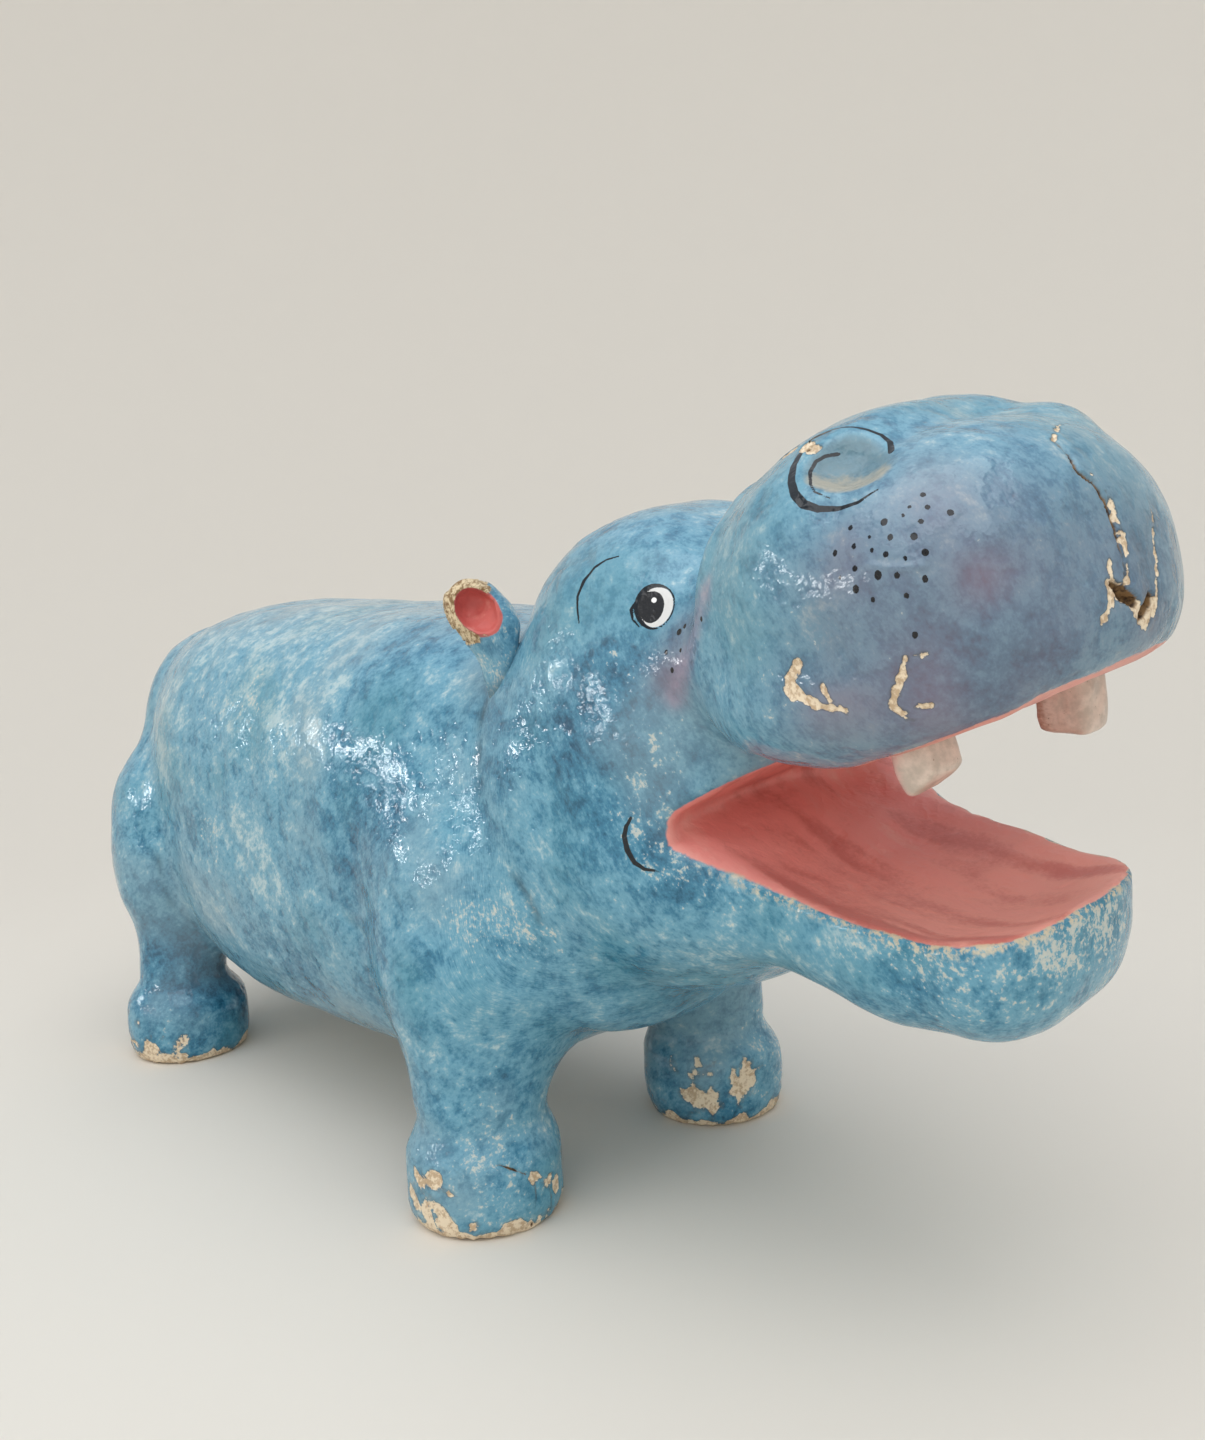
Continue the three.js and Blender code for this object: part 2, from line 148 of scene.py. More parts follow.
def bar(p, a, b, a_radius, b_radius):
    """A round bar from a to b, its radius changing evenly."""
    a, line = np.array(a, float), np.array(b, float) - np.array(a, float)
    t = np.clip((p - a) @ line / (line @ line), 0, 1)
    return np.linalg.norm(p - a - t[:, None] * line, axis=1) - (a_radius + (b_radius - a_radius) * t)


def turned(axis, degrees):
    """The matrix of a turn about one axis."""
    return np.array(Matrix.Rotation(np.radians(degrees), 3, axis))


def sided(at, side):
    """A place given for the left, on either side."""
    return np.array((at[0], side * at[1], at[2]), float)


def in_head(p):
    """The same places, seen from the head's own upright: the head is rolled a little to one side."""
    return (p - HEAD_PIVOT) @ turned("X", HEAD_ROLL) + HEAD_PIVOT


def out_of_head(q):
    """Places in the head's upright, brought back to the animal's."""
    return (np.asarray(q, float) - HEAD_PIVOT) @ turned("X", -HEAD_ROLL) + HEAD_PIVOT


def leg(p, foot, ankle, thigh, sweep):
    """A stump on a bulging foot: a round column whose radius follows the height, swept forwards and
    leaning inwards as it rises."""
    profile = [
        (0, FOOT_RADIUS * 0.92), (9, FOOT_RADIUS * 0.99), (22, FOOT_RADIUS),
        (FOOT_HEIGHT, FOOT_RADIUS * 0.9 + ankle * 0.1), (56, ankle), (86, ankle + 1), (135, thigh),
        (198, thigh - 5),
    ]
    rise = np.clip((p[:, 2] - SWEEP_FROM) / SWEEP_OVER, 0, 1)
    away = np.hypot(p[:, 0] - foot[0] - sweep * rise, p[:, 1] - foot[1] * (1 - LEG_LEAN * rise))
    return common(away - along(p[:, 2], profile)[:, 0], p[:, 2] - LEG_TOP, LEG_TOP_ROUNDING)


def mouth(q):
    """The open mouth: above the dished tongue, below the palate and in front of the throat. The lower
    lip sags towards its left corner, which is cut farther back than the right one and is blunter."""
    x, y, z = q.T
    bed = np.clip(1 - (y / TONGUE_HALF_WIDTH) ** 2, 0, 1)
    fore = np.clip((x - TONGUE_BACK) / TONGUE_BACK_SLOPE, 0, 1)
    fore = fore * np.sqrt(np.clip((TONGUE_FRONT - x) / TONGUE_FRONT_SLOPE, 0, 1))
    sag = along(x, LEFT_LIP_SAG)[:, 0] * np.clip((y - SAG_FROM) / SAG_OVER, 0, 1)
    floor = along(x, LOWER_LIP)[:, 0] - TONGUE_DEPTH * bed * fore - z - sag
    palate = z - along(x, UPPER_LIP)[:, 0]
    left = np.clip(0.5 + y / CORNERS_APART, 0, 1)
    slope = THROAT_SLOPE * left * np.clip(z - THROAT_SLOPE_FROM, 0, THROAT_SLOPE_RISE)
    setback = np.where(y < 0, RIGHT_CORNER_SETBACK, LEFT_CORNER_SETBACK) * (y / CORNER_AT) ** 2
    rounding = RIGHT_CORNER_ROUNDING + (LEFT_CORNER_ROUNDING - RIGHT_CORNER_ROUNDING) * left
    return common(common(floor, palate, PALATE_ROUNDING), MOUTH_BACK + setback - x + slope, rounding)


def shell(p):
    """Distance in millimetres from the whole skin, without ears and tusks, and less than 0 inside: the
    forms blended one after another, with the mouth and nostrils taken out and the soles cut level."""
    q, rise, square, wet = in_head(p), turned("Y", -LIP_RISE), SQUARENESS, FILLETS
    skin = lofted(p, TRUNK_SECTIONS, TRUNK_ENDS, square["trunk"])
    cheeks = ovoid(q, CHEEKS, CHEEKS_RADII, square["cheeks"])
    head = blend(ovoid(q, SKULL, SKULL_RADII, square["skull"]), cheeks, wet["cheeks"])
    head = common(head, (q - BROW_SLOPE_AT) @ np.array(BROW_SLOPE), wet["brow"])
    skin = blend(skin, blend(head, ovoid(q, THROAT, THROAT_RADII), wet["throat"]), wet["neck"])
    muzzle = lofted(q, MUZZLE_SECTIONS, MUZZLE_ENDS, square["muzzle"])
    muzzle = blend(muzzle, ovoid(q, BRIDGE, BRIDGE_RADII), wet["bridge"])
    for side in SIDES:
        skin = blend(skin, ovoid(p, sided(SHOULDER, side), SHOULDER_RADII), wet["shoulder"])
        skin = blend(skin, ovoid(p, sided(HAUNCH, side), HAUNCH_RADII), wet["haunch"])
        lip = ovoid(q, sided(SIDE_LIP, side), SIDE_LIP_RADII, turn=rise)
        muzzle = blend(muzzle, lip, wet["lip"])
    muzzle = blend(muzzle, ovoid(q, FRONT_LIP, FRONT_LIP_RADII, turn=rise), wet["lip"])
    muzzle = blend(muzzle, bar(q, RIM_BACK, RIM_FRONT, RIM_RADIUS, RIM_RADIUS), wet["rim"])
    skin = blend(skin, muzzle, wet["muzzle"])
    skin = blend(skin, lofted(q, JAW_SECTIONS, JAW_ENDS, square["jaw"]), wet["jaw"])
    skin = common(skin, -mouth(q), wet["mouth"])
    for side, radius in zip(SIDES, (NOSTRIL_RADIUS, LEFT_NOSTRIL_RADIUS)):
        dish = radius - np.linalg.norm(q - sided(NOSTRIL, side), axis=1)
        skin = common(skin, dish, wet["nostril"])
    for foot, ankle, thigh, sweep, fillet in LEGS:
        skin = blend(skin, leg(p, foot, ankle, thigh, sweep), fillet)
    skin = blend(skin, bar(p, TAIL_ROOT, TAIL_TIP, TAIL_ROOT_RADIUS, TAIL_TIP_RADIUS), wet["tail"])
    return np.maximum(skin, -p[:, 2])


SLOPE_STEP = 0.8


def steepness(form, p):
    """Distance at p, and how it rises along each axis, from a small step either way."""
    rises = [form(p + SLOPE_STEP * axis) - form(p - SLOPE_STEP * axis) for axis in np.eye(3)]
    return form(p), np.stack(rises, 1) / (2 * SLOPE_STEP)


def outward(form, p):
    """Which way the surface faces at each point: the direction in which the distance grows."""
    slopes = steepness(form, p)[1]
    return slopes / np.linalg.norm(slopes, axis=1)[:, None]


def settle(form, p, times=3):
    """Points moved down the slope of the distance until they lie on the surface."""
    for _ in range(times):
        distance, slope = steepness(form, p)
        p = p - slope * (distance / np.maximum((slope ** 2).sum(1), 0.04))[:, None]
    return p


def wrapped(form, axes):
    """A skin of four-sided patches round form < 0: each cell of the lattice that the surface passes
    through gets a corner at the mean of its crossings, and each crossed edge joins its four cells."""
    size = [len(axis) for axis in axes]
    lattice = np.stack(np.meshgrid(*axes, indexing="ij"), -1)
    depth = np.stack([form(slab.reshape(-1, 3)).reshape(size[1:]) for slab in lattice])
    within = depth < 0
    total, count = np.zeros([n - 1 for n in size] + [3]), np.zeros([n - 1 for n in size])
    for a in range(3):
        b, c = (k for k in range(3) if k != a)
        low, high = ([slice(None)] * 3 for _ in range(2))
        low[a], high[a] = slice(0, -1), slice(1, None)
        first, second = depth[tuple(low)], depth[tuple(high)]
        crossed = (first < 0) != (second < 0)
        share = np.where(crossed, first / np.where(crossed, first - second, 1), 0)[..., None]
        place = lattice[tuple(low)] * (1 - share) + lattice[tuple(high)] * share
        for shift in np.ndindex(2, 2):
            part = [slice(None)] * 3
            part[b], part[c] = (slice(s, s + size[k] - 1) for s, k in zip(shift, (b, c)))
            total += np.where(crossed[tuple(part)][..., None], place[tuple(part)], 0)
            count += crossed[tuple(part)]
    used = count > 0
    number = np.cumsum(used).reshape(used.shape) - 1
    patches = []
    for a in range(3):
        b, c = (a + 1) % 3, (a + 2) % 3
        low, high = ([slice(None)] * 3 for _ in range(2))
        low[a], high[a] = slice(0, -1), slice(1, None)
        for leaving in (True, False):
            found = np.argwhere((within[tuple(low)] == leaving) & (within[tuple(high)] != leaving))
            corners = []
            for back in ((1, 1), (0, 1), (0, 0), (1, 0)):
                cell = found.copy()
                cell[:, b] -= back[0]
                cell[:, c] -= back[1]
                corners.append(number[tuple(cell.T)])
            patches.append(np.stack(corners if leaving else corners[::-1], 1))
    return total[used] / count[used][:, None], np.concatenate(patches)


def swell(p, size, seed):
    """Soft random heights: values from -1 to 1 on a lattice, joined by smooth steps."""
    table = np.random.default_rng(seed).uniform(-1, 1, (32, 32, 32))
    cell = np.floor(p / size)
    t = p / size - cell
    t = t * t * (3 - 2 * t)
    cell = cell.astype(int)
    total = 0
    for corner in np.ndindex(2, 2, 2):
        place = (cell + corner) % 32
        total = total + table[tuple(place.T)] * np.where(corner, t, 1 - t).prod(1)
    return total


FAR_OUTSIDE = -6.0


def reach(p, line):
    """Distance from a chain of points, and how far along the chain the nearest place is, 0 to 1."""
    line = np.asarray(line, float)
    best, place = np.full(len(p), 1e9), np.zeros(len(p))
    for i, (a, b) in enumerate(zip(line[:-1], line[1:])):
        t = np.clip((p - a) @ (b - a) / ((b - a) @ (b - a)), 0, 1)
        away = np.linalg.norm(p - a - t[:, None] * (b - a), axis=1)
        nearer = away < best
        best, place = np.where(nearer, away, best), np.where(nearer, (i + t) / (len(line) - 1), place)
    return best, place


def lay(q, lines):
    """The deepest that each place lies inside any of the lines, in millimetres: the line's half width
    there, which goes evenly from start to middle to end, less the distance from it."""
    deepest = np.full(len(q), FAR_OUTSIDE)
    for line, (start, middle, end) in lines:
        away, t = reach(q, line)
        width = start + (middle - start) * np.minimum(2 * t, 1) + (end - middle) * np.maximum(2 * t - 1, 0)
        deepest = np.maximum(deepest, width - away)
    return deepest


# The same brushwork is on both sides of the head, in the head's upright. Each stroke is a chain of
# touches and the half width of the brush at its start, middle and end.
STROKES = [
    ([(182.5, 62, 335.7), (178.8, 65.3, 333.3), (177.3, 68.8, 328.9), (179.5, 70.5, 325),
      (184, 71, 321.6)], (0.5, 0.8, 0.3)),
    ([(158.8, 55, 350.2), (152.5, 57, 349.1), (147.7, 60.4, 346.2), (144.5, 65.2, 341.3),
      (144, 70.2, 334.9), (146.4, 73.3, 330.3), (150.1, 76.9, 323.9)], (0.5, 1.0, 0.4)),
    ([(185.6, 92.9, 240.2), (183.4, 94.5, 236.3), (182.6, 95.6, 231.9), (184.2, 96.3, 226.1),
      (187.6, 96, 220.6), (192.5, 94.6, 217.8), (199.1, 92, 217)], (0.7, 1.5, 0.5)),
    ([(276.1, 59.4, 389.9), (277.9, 66, 386.5), (282.6, 73.9, 381.7), (288.4, 79.3, 377.1),
      (294.6, 81.9, 373.1), (300.7, 81.3, 371.1), (307.1, 78.8, 370.8), (315.4, 76.1, 372.4),
      (321.1, 70.3, 376.3)], (1.6, 1.9, 0.4)),
    ([(281.2, 45.5, 396.5), (289.3, 44.5, 397.1), (296.1, 42.2, 396), (301.7, 41, 393.7),
      (306.8, 42.6, 390.9), (311.2, 48.4, 387.6)], (0.4, 0.8, 1.4)),
    ([(274.3, 49, 394.2), (281.2, 46.5, 396.2)], (1.6, 1.3, 0.9)),
    ([(290.6, 54, 388.6), (287.5, 57.7, 388.6), (285.9, 62.2, 387.2), (287.4, 67.7, 384),
      (292.7, 74.6, 379.9), (296.8, 77.4, 376.8), (303.3, 77, 374.2)], (0.8, 0.8, 0.3)),
]
EYE, EYE_FACING = (187.8, 64.6, 329.7), (0.21, 0.84, 0.49)
EYE_ALONG, EYE_UP, EYE_SLANT = (0.975, -0.221, -0.03), (-0.103, -0.561, 0.821), 0.14
EYE_THICKNESS, EYE_OUTLINE, OUTLINE_MIDDLE = 8, 0.8, 186
WHITE_AT, WHITE_RADII = (0.7, 0.3), (8.8, 9.9)
PUPIL_AT, PUPIL_RADII = (-1.3, 0.1), (6.2, 7.7)
GLINT_AT, GLINT_RADIUS = (-0.6, 3.4), 1.35
WHISKER_DOTS = [
    (335.4, 72.8, 369.6), (337.5, 67.1, 373.2), (348, 66.4, 366.3), (340.9, 69.8, 369), (334.6, 75.9, 367),
    (340.9, 74.4, 364.5), (329.1, 79.8, 365.4), (316.6, 83.5, 364.4), (325.6, 84.4, 360.8),
    (333, 82.2, 360.2), (340.4, 78.4, 359.8), (320.4, 87.2, 358.1), (327.7, 86.5, 356.3),
    (332.9, 85.4, 354.7), (344.8, 78.8, 354.2), (312.8, 89, 356.1), (339.3, 83.2, 352.8),
    (322.4, 90.4, 350.6), (331.4, 88.9, 347.9), (337.6, 86.3, 347.4), (316.4, 92.2, 347.7),
    (346, 81.7, 345.3), (323.3, 92.3, 343.5), (340.8, 86.3, 340.1), (329.8, 91.4, 339.5),
    (342.7, 86, 325.9),
]
WHISKER_SIZES = [0.8, 1.1, 1.35, 1.05]
FRECKLES = [
    (232.5, 80.2, 328.3), (222.2, 75.6, 324.9), (206.6, 70.2, 320.5), (209, 69.1, 323),
    (210.1, 73.6, 312.9), (205.8, 75, 304.2), (210.3, 62.1, 333), (201.2, 73.2, 311.5),
]
FRECKLE_SIZES = [0.9, 1.2, 1.5, 1.0]


def mirrored(q):
    """The left half's places for both halves."""
    return q * (1, 0, 1) + np.abs(q) * (0, 1, 0)


def laid(touches):
    """Touches of the left half brought down onto the skin of the right half, and mirrored back."""
    there = out_of_head(np.array(touches, float) * (1, -1, 1))
    return mirrored(in_head(settle(shell, there, 4)))


BRUSHED = [(laid(line), widths) for line, widths in STROKES]
DOTTED = [(laid(WHISKER_DOTS), WHISKER_SIZES), (laid(FRECKLES), FRECKLE_SIZES)]


def brushwork(q):
    """How deep each place lies inside the black brush strokes, in millimetres, and outside less than 0."""
    near = mirrored(q)
    deepest = lay(near, BRUSHED)
    for spots, sizes in DOTTED:
        for i, spot in enumerate(spots):
            stretch = (1, 1, 0.7 + 0.1 * (i % 3))
            away = np.linalg.norm((near - spot) * stretch, axis=1)
            deepest = np.maximum(deepest, sizes[i % len(sizes)] - away)
    return deepest


def eyeball(q):
    """Depths inside the white of the eye, the pupil and its glint, a painted highlight: slanted ovals laid
    flat on the brow.
    """
    local = mirrored(q) - EYE
    v = local @ np.array(EYE_UP)
    u = local @ np.array(EYE_ALONG) + EYE_SLANT * v
    off = np.abs(local @ np.array(EYE_FACING))
    depths = []
    for at, radii in ((WHITE_AT, WHITE_RADII), (PUPIL_AT, PUPIL_RADII), (GLINT_AT, (GLINT_RADIUS,) * 2)):
        far = np.hypot((u - at[0]) / radii[0], (v - at[1]) / radii[1])
        depths.append(np.maximum((1 - far) * radii[0], FAR_OUTSIDE) - np.maximum(off - EYE_THICKNESS, 0))
    return depths


# Its breaks, on the side where they are: cracks over the front of the muzzle that end in two holes,
# flakes off the right lip and nostril, and chips round the soles, all down to pale paper. A crease is
# a chain, its width and its depth; a sole chip is a place, its size and how sure the chip is there.
CRACK = [
    (352.2, -3.8, 383.5), (358.8, -5.5, 378.3), (364.5, -9.9, 372), (368.1, -5.8, 367.1),
    (372.3, -4.7, 359.4), (375.5, -4.9, 351.9), (378.5, -8, 344.1), (380.2, -8.5, 339.3),
    (382.6, -12.3, 330.1),
]
CRACK_ENDS, CRACK_MIDDLE = 0.6, 0.9
FLAKES = [
    ([(342.8, 17.9, 388), (348, 5, 386), (352.2, -3.8, 383.5)], (0.9, 0.5, 1.0)),
    ([(366, -3, 369), (372.8, -2, 359.4), (376.5, -2, 351.9), (379.2, -5, 343), (382.8, -10.5, 331)],
      (0.5, 1.3, 1.4)),
    ([(379.3, -16.3, 339.8), (381.1, -18.8, 332.9), (381.9, -22.6, 325.5), (381, -28, 319.2)],
      (1.2, 1.9, 0.8)),
    ([(374.4, 23.7, 350.9), (378.7, 16.1, 341.8), (381.1, 13.3, 335.5), (384.1, 6.5, 323.2),
      (384.1, 3.1, 317.2)], (0.8, 1.2, 1.5)),
    ([(381.4, -20.5, 331.4), (383.6, -9, 322.5), (383.8, -3, 314), (384.2, 3.5, 321)], (2.5, 3.2, 2.2)),
    ([(294.6, -97.2, 315.2), (291.5, -97.7, 310.3), (292.9, -98.1, 305)], (3.2, 2.8, 3.4)),
    ([(292.9, -98.1, 305), (298.9, -97.8, 302.7), (306.3, -96.9, 299.6), (314.4, -95.4, 298.6)],
      (2.2, 2.2, 1.6)),
    ([(307, -97, 307), (309.5, -96.5, 302.5)], (1.2, 1.2, 1.2)),
    ([(338.9, -88, 316.8), (337.4, -88.6, 311.1), (334.4, -89.6, 305.5), (333.3, -89, 299.5),
      (335.7, -86, 295.1)], (1.4, 2.2, 1.6)),
    ([(340.2, -84.8, 299.7), (344.2, -81.8, 299.5)], (0.4, 0.7, 0.6)),
    ([(342, -86, 318.2), (346, -84, 318)], (0.5, 0.8, 0.4)),
    ([(273, -52, 393), (282, -58.5, 391)], (2.6, 4.0, 2.6)),
    ([(258, -46, 388), (266.5, -49.7, 390.2)], (2.5, 4.5, 2.5)),
]
HOLES = [
    ([(381.2, -18.5, 332), (382.7, -14.5, 327.4), (383.8, -8.7, 323.4)], (1.0, 3.2, 2.4)),
    ([(384.3, 1.6, 322.3), (384.2, -2.6, 319.2), (383.8, -6.9, 315.2)], (3.0, 3.2, 1.2)),
    ([(274.5, -54, 392.4), (279, -57, 391.6)], (0.5, 1.4, 0.7)),
]
FOOT_CRACKS = [
    ([(91.5, -85.8, 27.9), (91.5, -86, 18.6), (88.9, -88.8, 2.2)], (0.4, 0.8, 0.8)),
    ([(89.8, -76, 24.1), (89.2, -74.7, 11.2), (88, -75, 2)], (0.4, 0.7, 0.7)),
    ([(62.7, -126.8, 37.7), (71, -121.7, 41.2), (80, -115.4, 38.5)], (0.2, 0.5, 0.2)),
    ([(80, -115.4, 38.5), (86.5, -104.2, 40.8), (89.7, -98.1, 36.8), (91.3, -91.3, 32.1)], (0.2, 0.6, 0.5)),
]
SOLE_RIM, SOLE_FADE, SOLE_RIM_TOP = 2.2, 0.42, 40
CREASES = [
    ([(-28, 111, 151), (-5, 117, 133), (18, 119, 116)], 3.5, 2.6),
    ([(111, 100, 195), (118, 98, 184), (123, 96, 174)], 4.0, 2.0),
    ([(80, 90, 292), (73, 84, 276), (80, 94, 250), (88, 97, 225)], 4.5, 2.2),
    ([(-279, 108, 147), (-277, 103, 116)], 6.0, 1.5),
    ([(84, 118, 232), (97, 112, 222), (108, 104, 205)], 5.0, 1.6),
]
SOLE_CHIPS = [
    ((60, -129, 34), 5, 3.0), ((49, -129, 30), 5, 3.0), ((36, -127, 20), 5, 3.0), ((44, -129, 16), 5, 3.0),
    ((55, -129, 15), 6, 3.0), ((67, -126, 12), 6, 3.0), ((78, -119, 9), 5, 3.0), ((70, -125, 27), 2, 2.0),
    ((91, -87, 31), 4, 3.0), ((90, -77, 24), 4, 3.0), ((88, -70, 18), 4, 3.0),
    ((-330, -118, 22), 12, 3.0), ((-290, -124, 6), 12, 1.5), ((96, 70, 26), 12, 2.5),
    ((70, 50, 20), 9, 1.0),
]


def flaked(p, q):
    """Depth inside the bare patches: the flakes of the head, rough-edged round chips on the feet, and a
    rim at each sole that is less deep the higher it is."""
    bare = lay(q, FLAKES) - 0.3 + 1.3 * swell(q, 3.6, 5) + 0.9 * swell(q, 1.6, 6)
    ragged = 2.6 * swell(p, 7, 7) + 1.2 * swell(p, 2.6, 8)
    for at, size, deep in SOLE_CHIPS:
        away = np.linalg.norm(p - at, axis=1)
        bare = np.maximum(bare, deep * (1 - away / size) + ragged)
    rim = SOLE_RIM - SOLE_FADE * p[:, 2] + 2.8 * swell(p, 9, 9) + 1.4 * swell(p, 3, 10)
    return np.maximum(bare, np.where(p[:, 2] < SOLE_RIM_TOP, rim, FAR_OUTSIDE))


def broken(q):
    """Depth inside the crack, which is widest at its middle, the splits of the foot and the holes."""
    crack, t = reach(q, CRACK)
    wide = CRACK_ENDS + CRACK_MIDDLE * np.sin(np.pi * np.clip(1.15 * t, 0, 1))
    thin = wide + 0.3 * swell(q, 3, 11) - crack
    split = lay(out_of_head(q), FOOT_CRACKS) + 0.4 * swell(q, 3, 13)
    return np.maximum.reduce([thin, split, lay(q, HOLES) + 0.7 * swell(q, 2.5, 12)])


LUMPS = [(1.1, 52, 1), (0.8, 22, 2), (0.42, 11, 3)]
STRIP_EDGE_DEPTH, STRIP_EDGE_WIDTH = 0.7, 0.06
HOLE_DEPTH, PAPER_THICKNESS = 5.0, 0.7
LIP_FOLD, FOLD_HEIGHT, FOLD_WIDTH = [(327, -88.5, 351), (336, -85.5, 349.5), (345, -81, 349.5)], 0.8, 1.3


def modelled(p):
    """How far the hand-laid paper stands off the former's even shape: slow lumps, the edges of pasted
    strips as thin hollows where a random height passes 0, creases pressed in where limbs join, a fold
    on the lip, and hollows where it is broken. All of it fades away at the soles."""
    q = in_head(p)
    relief = sum(height * swell(p, size, seed) for height, size, seed in LUMPS)
    edges = np.exp(-(swell(p, 26, 4) / STRIP_EDGE_WIDTH) ** 2)
    relief -= STRIP_EDGE_DEPTH * edges * np.clip(swell(p, 60, 14) + 0.4, 0, 1)
    for line, width, deep in CREASES:
        away, t = reach(mirrored(p), line)
        relief -= deep * np.exp(-(away / width) ** 2) * np.sqrt(np.clip(1.3 - 1.2 * t, 0, 1))
    relief -= HOLE_DEPTH * np.clip(broken(q) / 1.6 + 0.1, 0, 1)
    relief -= PAPER_THICKNESS * np.clip(flaked(p, q) / 0.8 + 0.3, 0, 1)
    relief += FOLD_HEIGHT * np.exp(-(reach(q, LIP_FOLD)[0] / FOLD_WIDTH) ** 2)
    return relief * np.clip((p[:, 2] - 1) / 5, 0, 1)


# Broad patches of colour, each a place, its size and how much: darker where the sponge was full and as
# painted shade low on the belly and legs, paler where the paint is rubbed and as painted light on the top
# of the back, and mauve washed over the right of the muzzle and by the eyes.
DARK_AND_SHADE_DABS = [
    (-19, 110, 214, 48, -0.9), (-41, 107, 239, 40, -0.5), (25, 105, 234, 42, -0.6), (99, 94, 260, 45, -0.6),
    (164, 92, 274, 30, -0.7), (170, 94, 238, 32, -1.0), (194, 89, 204, 25, -0.7), (184, 87, 179, 32, -0.6),
    (83, 114, 120, 42, -0.3), (91, 90, 92, 34, -0.3), (130, 68, 128, 42, -0.5), (-242, 109, 159, 38, -0.5),
    (-285, 103, 66, 44, -0.9), (-277, 80, 54, 44, -0.8), (167, 85, 301, 24, -0.7), (291, 95, 360, 26, -0.5),
    (350, 47, 376, 42, -0.5), (338, 94, 323, 38, -0.5), (353, 80, 301, 32, -0.6), (364, 70, 328, 32, -0.5),
    (-66, 105, 112, 40, -0.9), (-162, 105, 112, 45, -0.6), (378, 5, 337, 40, -0.4),
]
PALE_AND_LIGHT_DABS = [
    (-158, 107, 240, 50, 0.5), (-77, 103, 252, 42, 0.9), (28, 84, 279, 42, 0.6), (-193, 109, 127, 50, 0.7),
    (-85, 111, 140, 48, 0.6), (60, 121, 180, 32, 0.4), (128, 90, 285, 26, 0.3), (178, 29, 359, 38, 0.7),
    (253, 93, 289, 28, 0.6), (323, 39, 389, 38, 0.6), (-127, 69, 298, 66, 0.4), (240, 67, 198, 28, 0.4),
    (118, 100, 224, 22, 0.6), (-274, 102, 216, 55, 1.0), (-120, 60, 305, 90, 0.8), (-230, 70, 280, 60, 0.8),
    (66, 118, 70, 40, 0.5),
]
MAUVE_DABS = [
    (338, -94, 323, 40, 0.9), (318, -96, 352, 24, 0.55), (364, -70, 328, 36, 0.55),
    (352, -84, 300, 24, 0.5), (378, -8, 337, 46, 0.9), (352, -70, 352, 34, 0.6),
    (300, -97, 300, 22, 0.5), (332, 90, 323, 40, 0.5),
]
EYE_CORNER = [(238, 80, 341), (222, 77, 318), (212, 76, 302), (206, 76, 292)]
BLUSH_WIDTH = 8
EYE_SHADOW = [
    (214, -72, 326, 13, 0.8), (207, -74, 312, 13, 0.9), (201, -75, 299, 10, 0.6),
    (214, 72, 326, 13, 0.8), (205, 74, 308, 15, 0.8),
]
WORN_DABS = [
    (194, 92, 226, 22, 0.8), (215, 84, 205, 20, 0.7), (304, 60, 186, 30, 0.8), (250, 68, 200, 26, 0.6),
    (200, 88, 262, 22, 0.7), (175, 88, 300, 14, 0.6), (90, 112, 170, 26, 0.8), (120, 96, 165, 22, 0.7),
    (-145, 98, 265, 30, 0.7), (-190, 106, 178, 26, 0.9), (-200, 104, 262, 34, 0.6),
    (345, 45, 176, 40, 0.6), (372, 10, 195, 26, 0.5), (352, 8, 188, 24, 0.8), (85, 110, 60, 30, 0.5),
    (70, 100, 20, 34, 0.8), (-300, 105, 20, 34, 0.6), (285, 96, 300, 24, 0.6),
]


def dabbed(p, dabs):
    """A sum of soft round dabs, each fading from its middle as exp(-(distance / size) squared)."""
    return sum(
        amount * np.exp(-((p - (x, y, z)) ** 2).sum(1) / size ** 2) for x, y, z, size, amount in dabs
    )


NECK, NOSE, SOLE = 108, 400, -8
BODY_STEP, HEAD_STEP, ACROSS_STEP = 5.2, 3.9, 4.0
axes = (
    np.concatenate([np.arange(-396, NECK, BODY_STEP), np.arange(NECK, NOSE, HEAD_STEP)]),
    np.arange(-142, 143, ACROSS_STEP),
    np.arange(SOLE, 424, ACROSS_STEP),
)
points, patches = wrapped(shell, axes)
points = settle(shell, points)


def fine(p):
    """How near each place is to brushwork, a break or the eye, in millimetres: there the skin needs
    small patches. It is less than 0 inside them."""
    q = in_head(p)
    return -np.maximum.reduce([brushwork(q), lay(q, FLAKES), broken(q), 0.7 * eyeball(q)[0]])


def placed(mesh):
    """Where the mesh's corners are, as one array."""
    flat = np.empty(len(mesh.vertices) * 3)
    mesh.vertices.foreach_get("co", flat)
    return flat.reshape(-1, 3)


FINE_WITHIN = (5.0, 3.0)
mesh = bpy.data.meshes.new("hippo_skin")
mesh.from_pydata(points.tolist(), [], patches.tolist())
for margin in FINE_WITHIN:
    near = fine(placed(mesh)) < margin
    made = bmesh.new()
    made.from_mesh(mesh)
    made.edges.ensure_lookup_table()
    ends = np.empty(len(mesh.edges) * 2, np.int32)
    mesh.edges.foreach_get("vertices", ends)
    chosen = [made.edges[i] for i in np.flatnonzero(near[ends].reshape(-1, 2).all(1))]
    bmesh.ops.subdivide_edges(made, edges=chosen, cuts=1, use_grid_fill=True)
    made.to_mesh(mesh)
    made.free()
points = settle(shell, placed(mesh), 2)
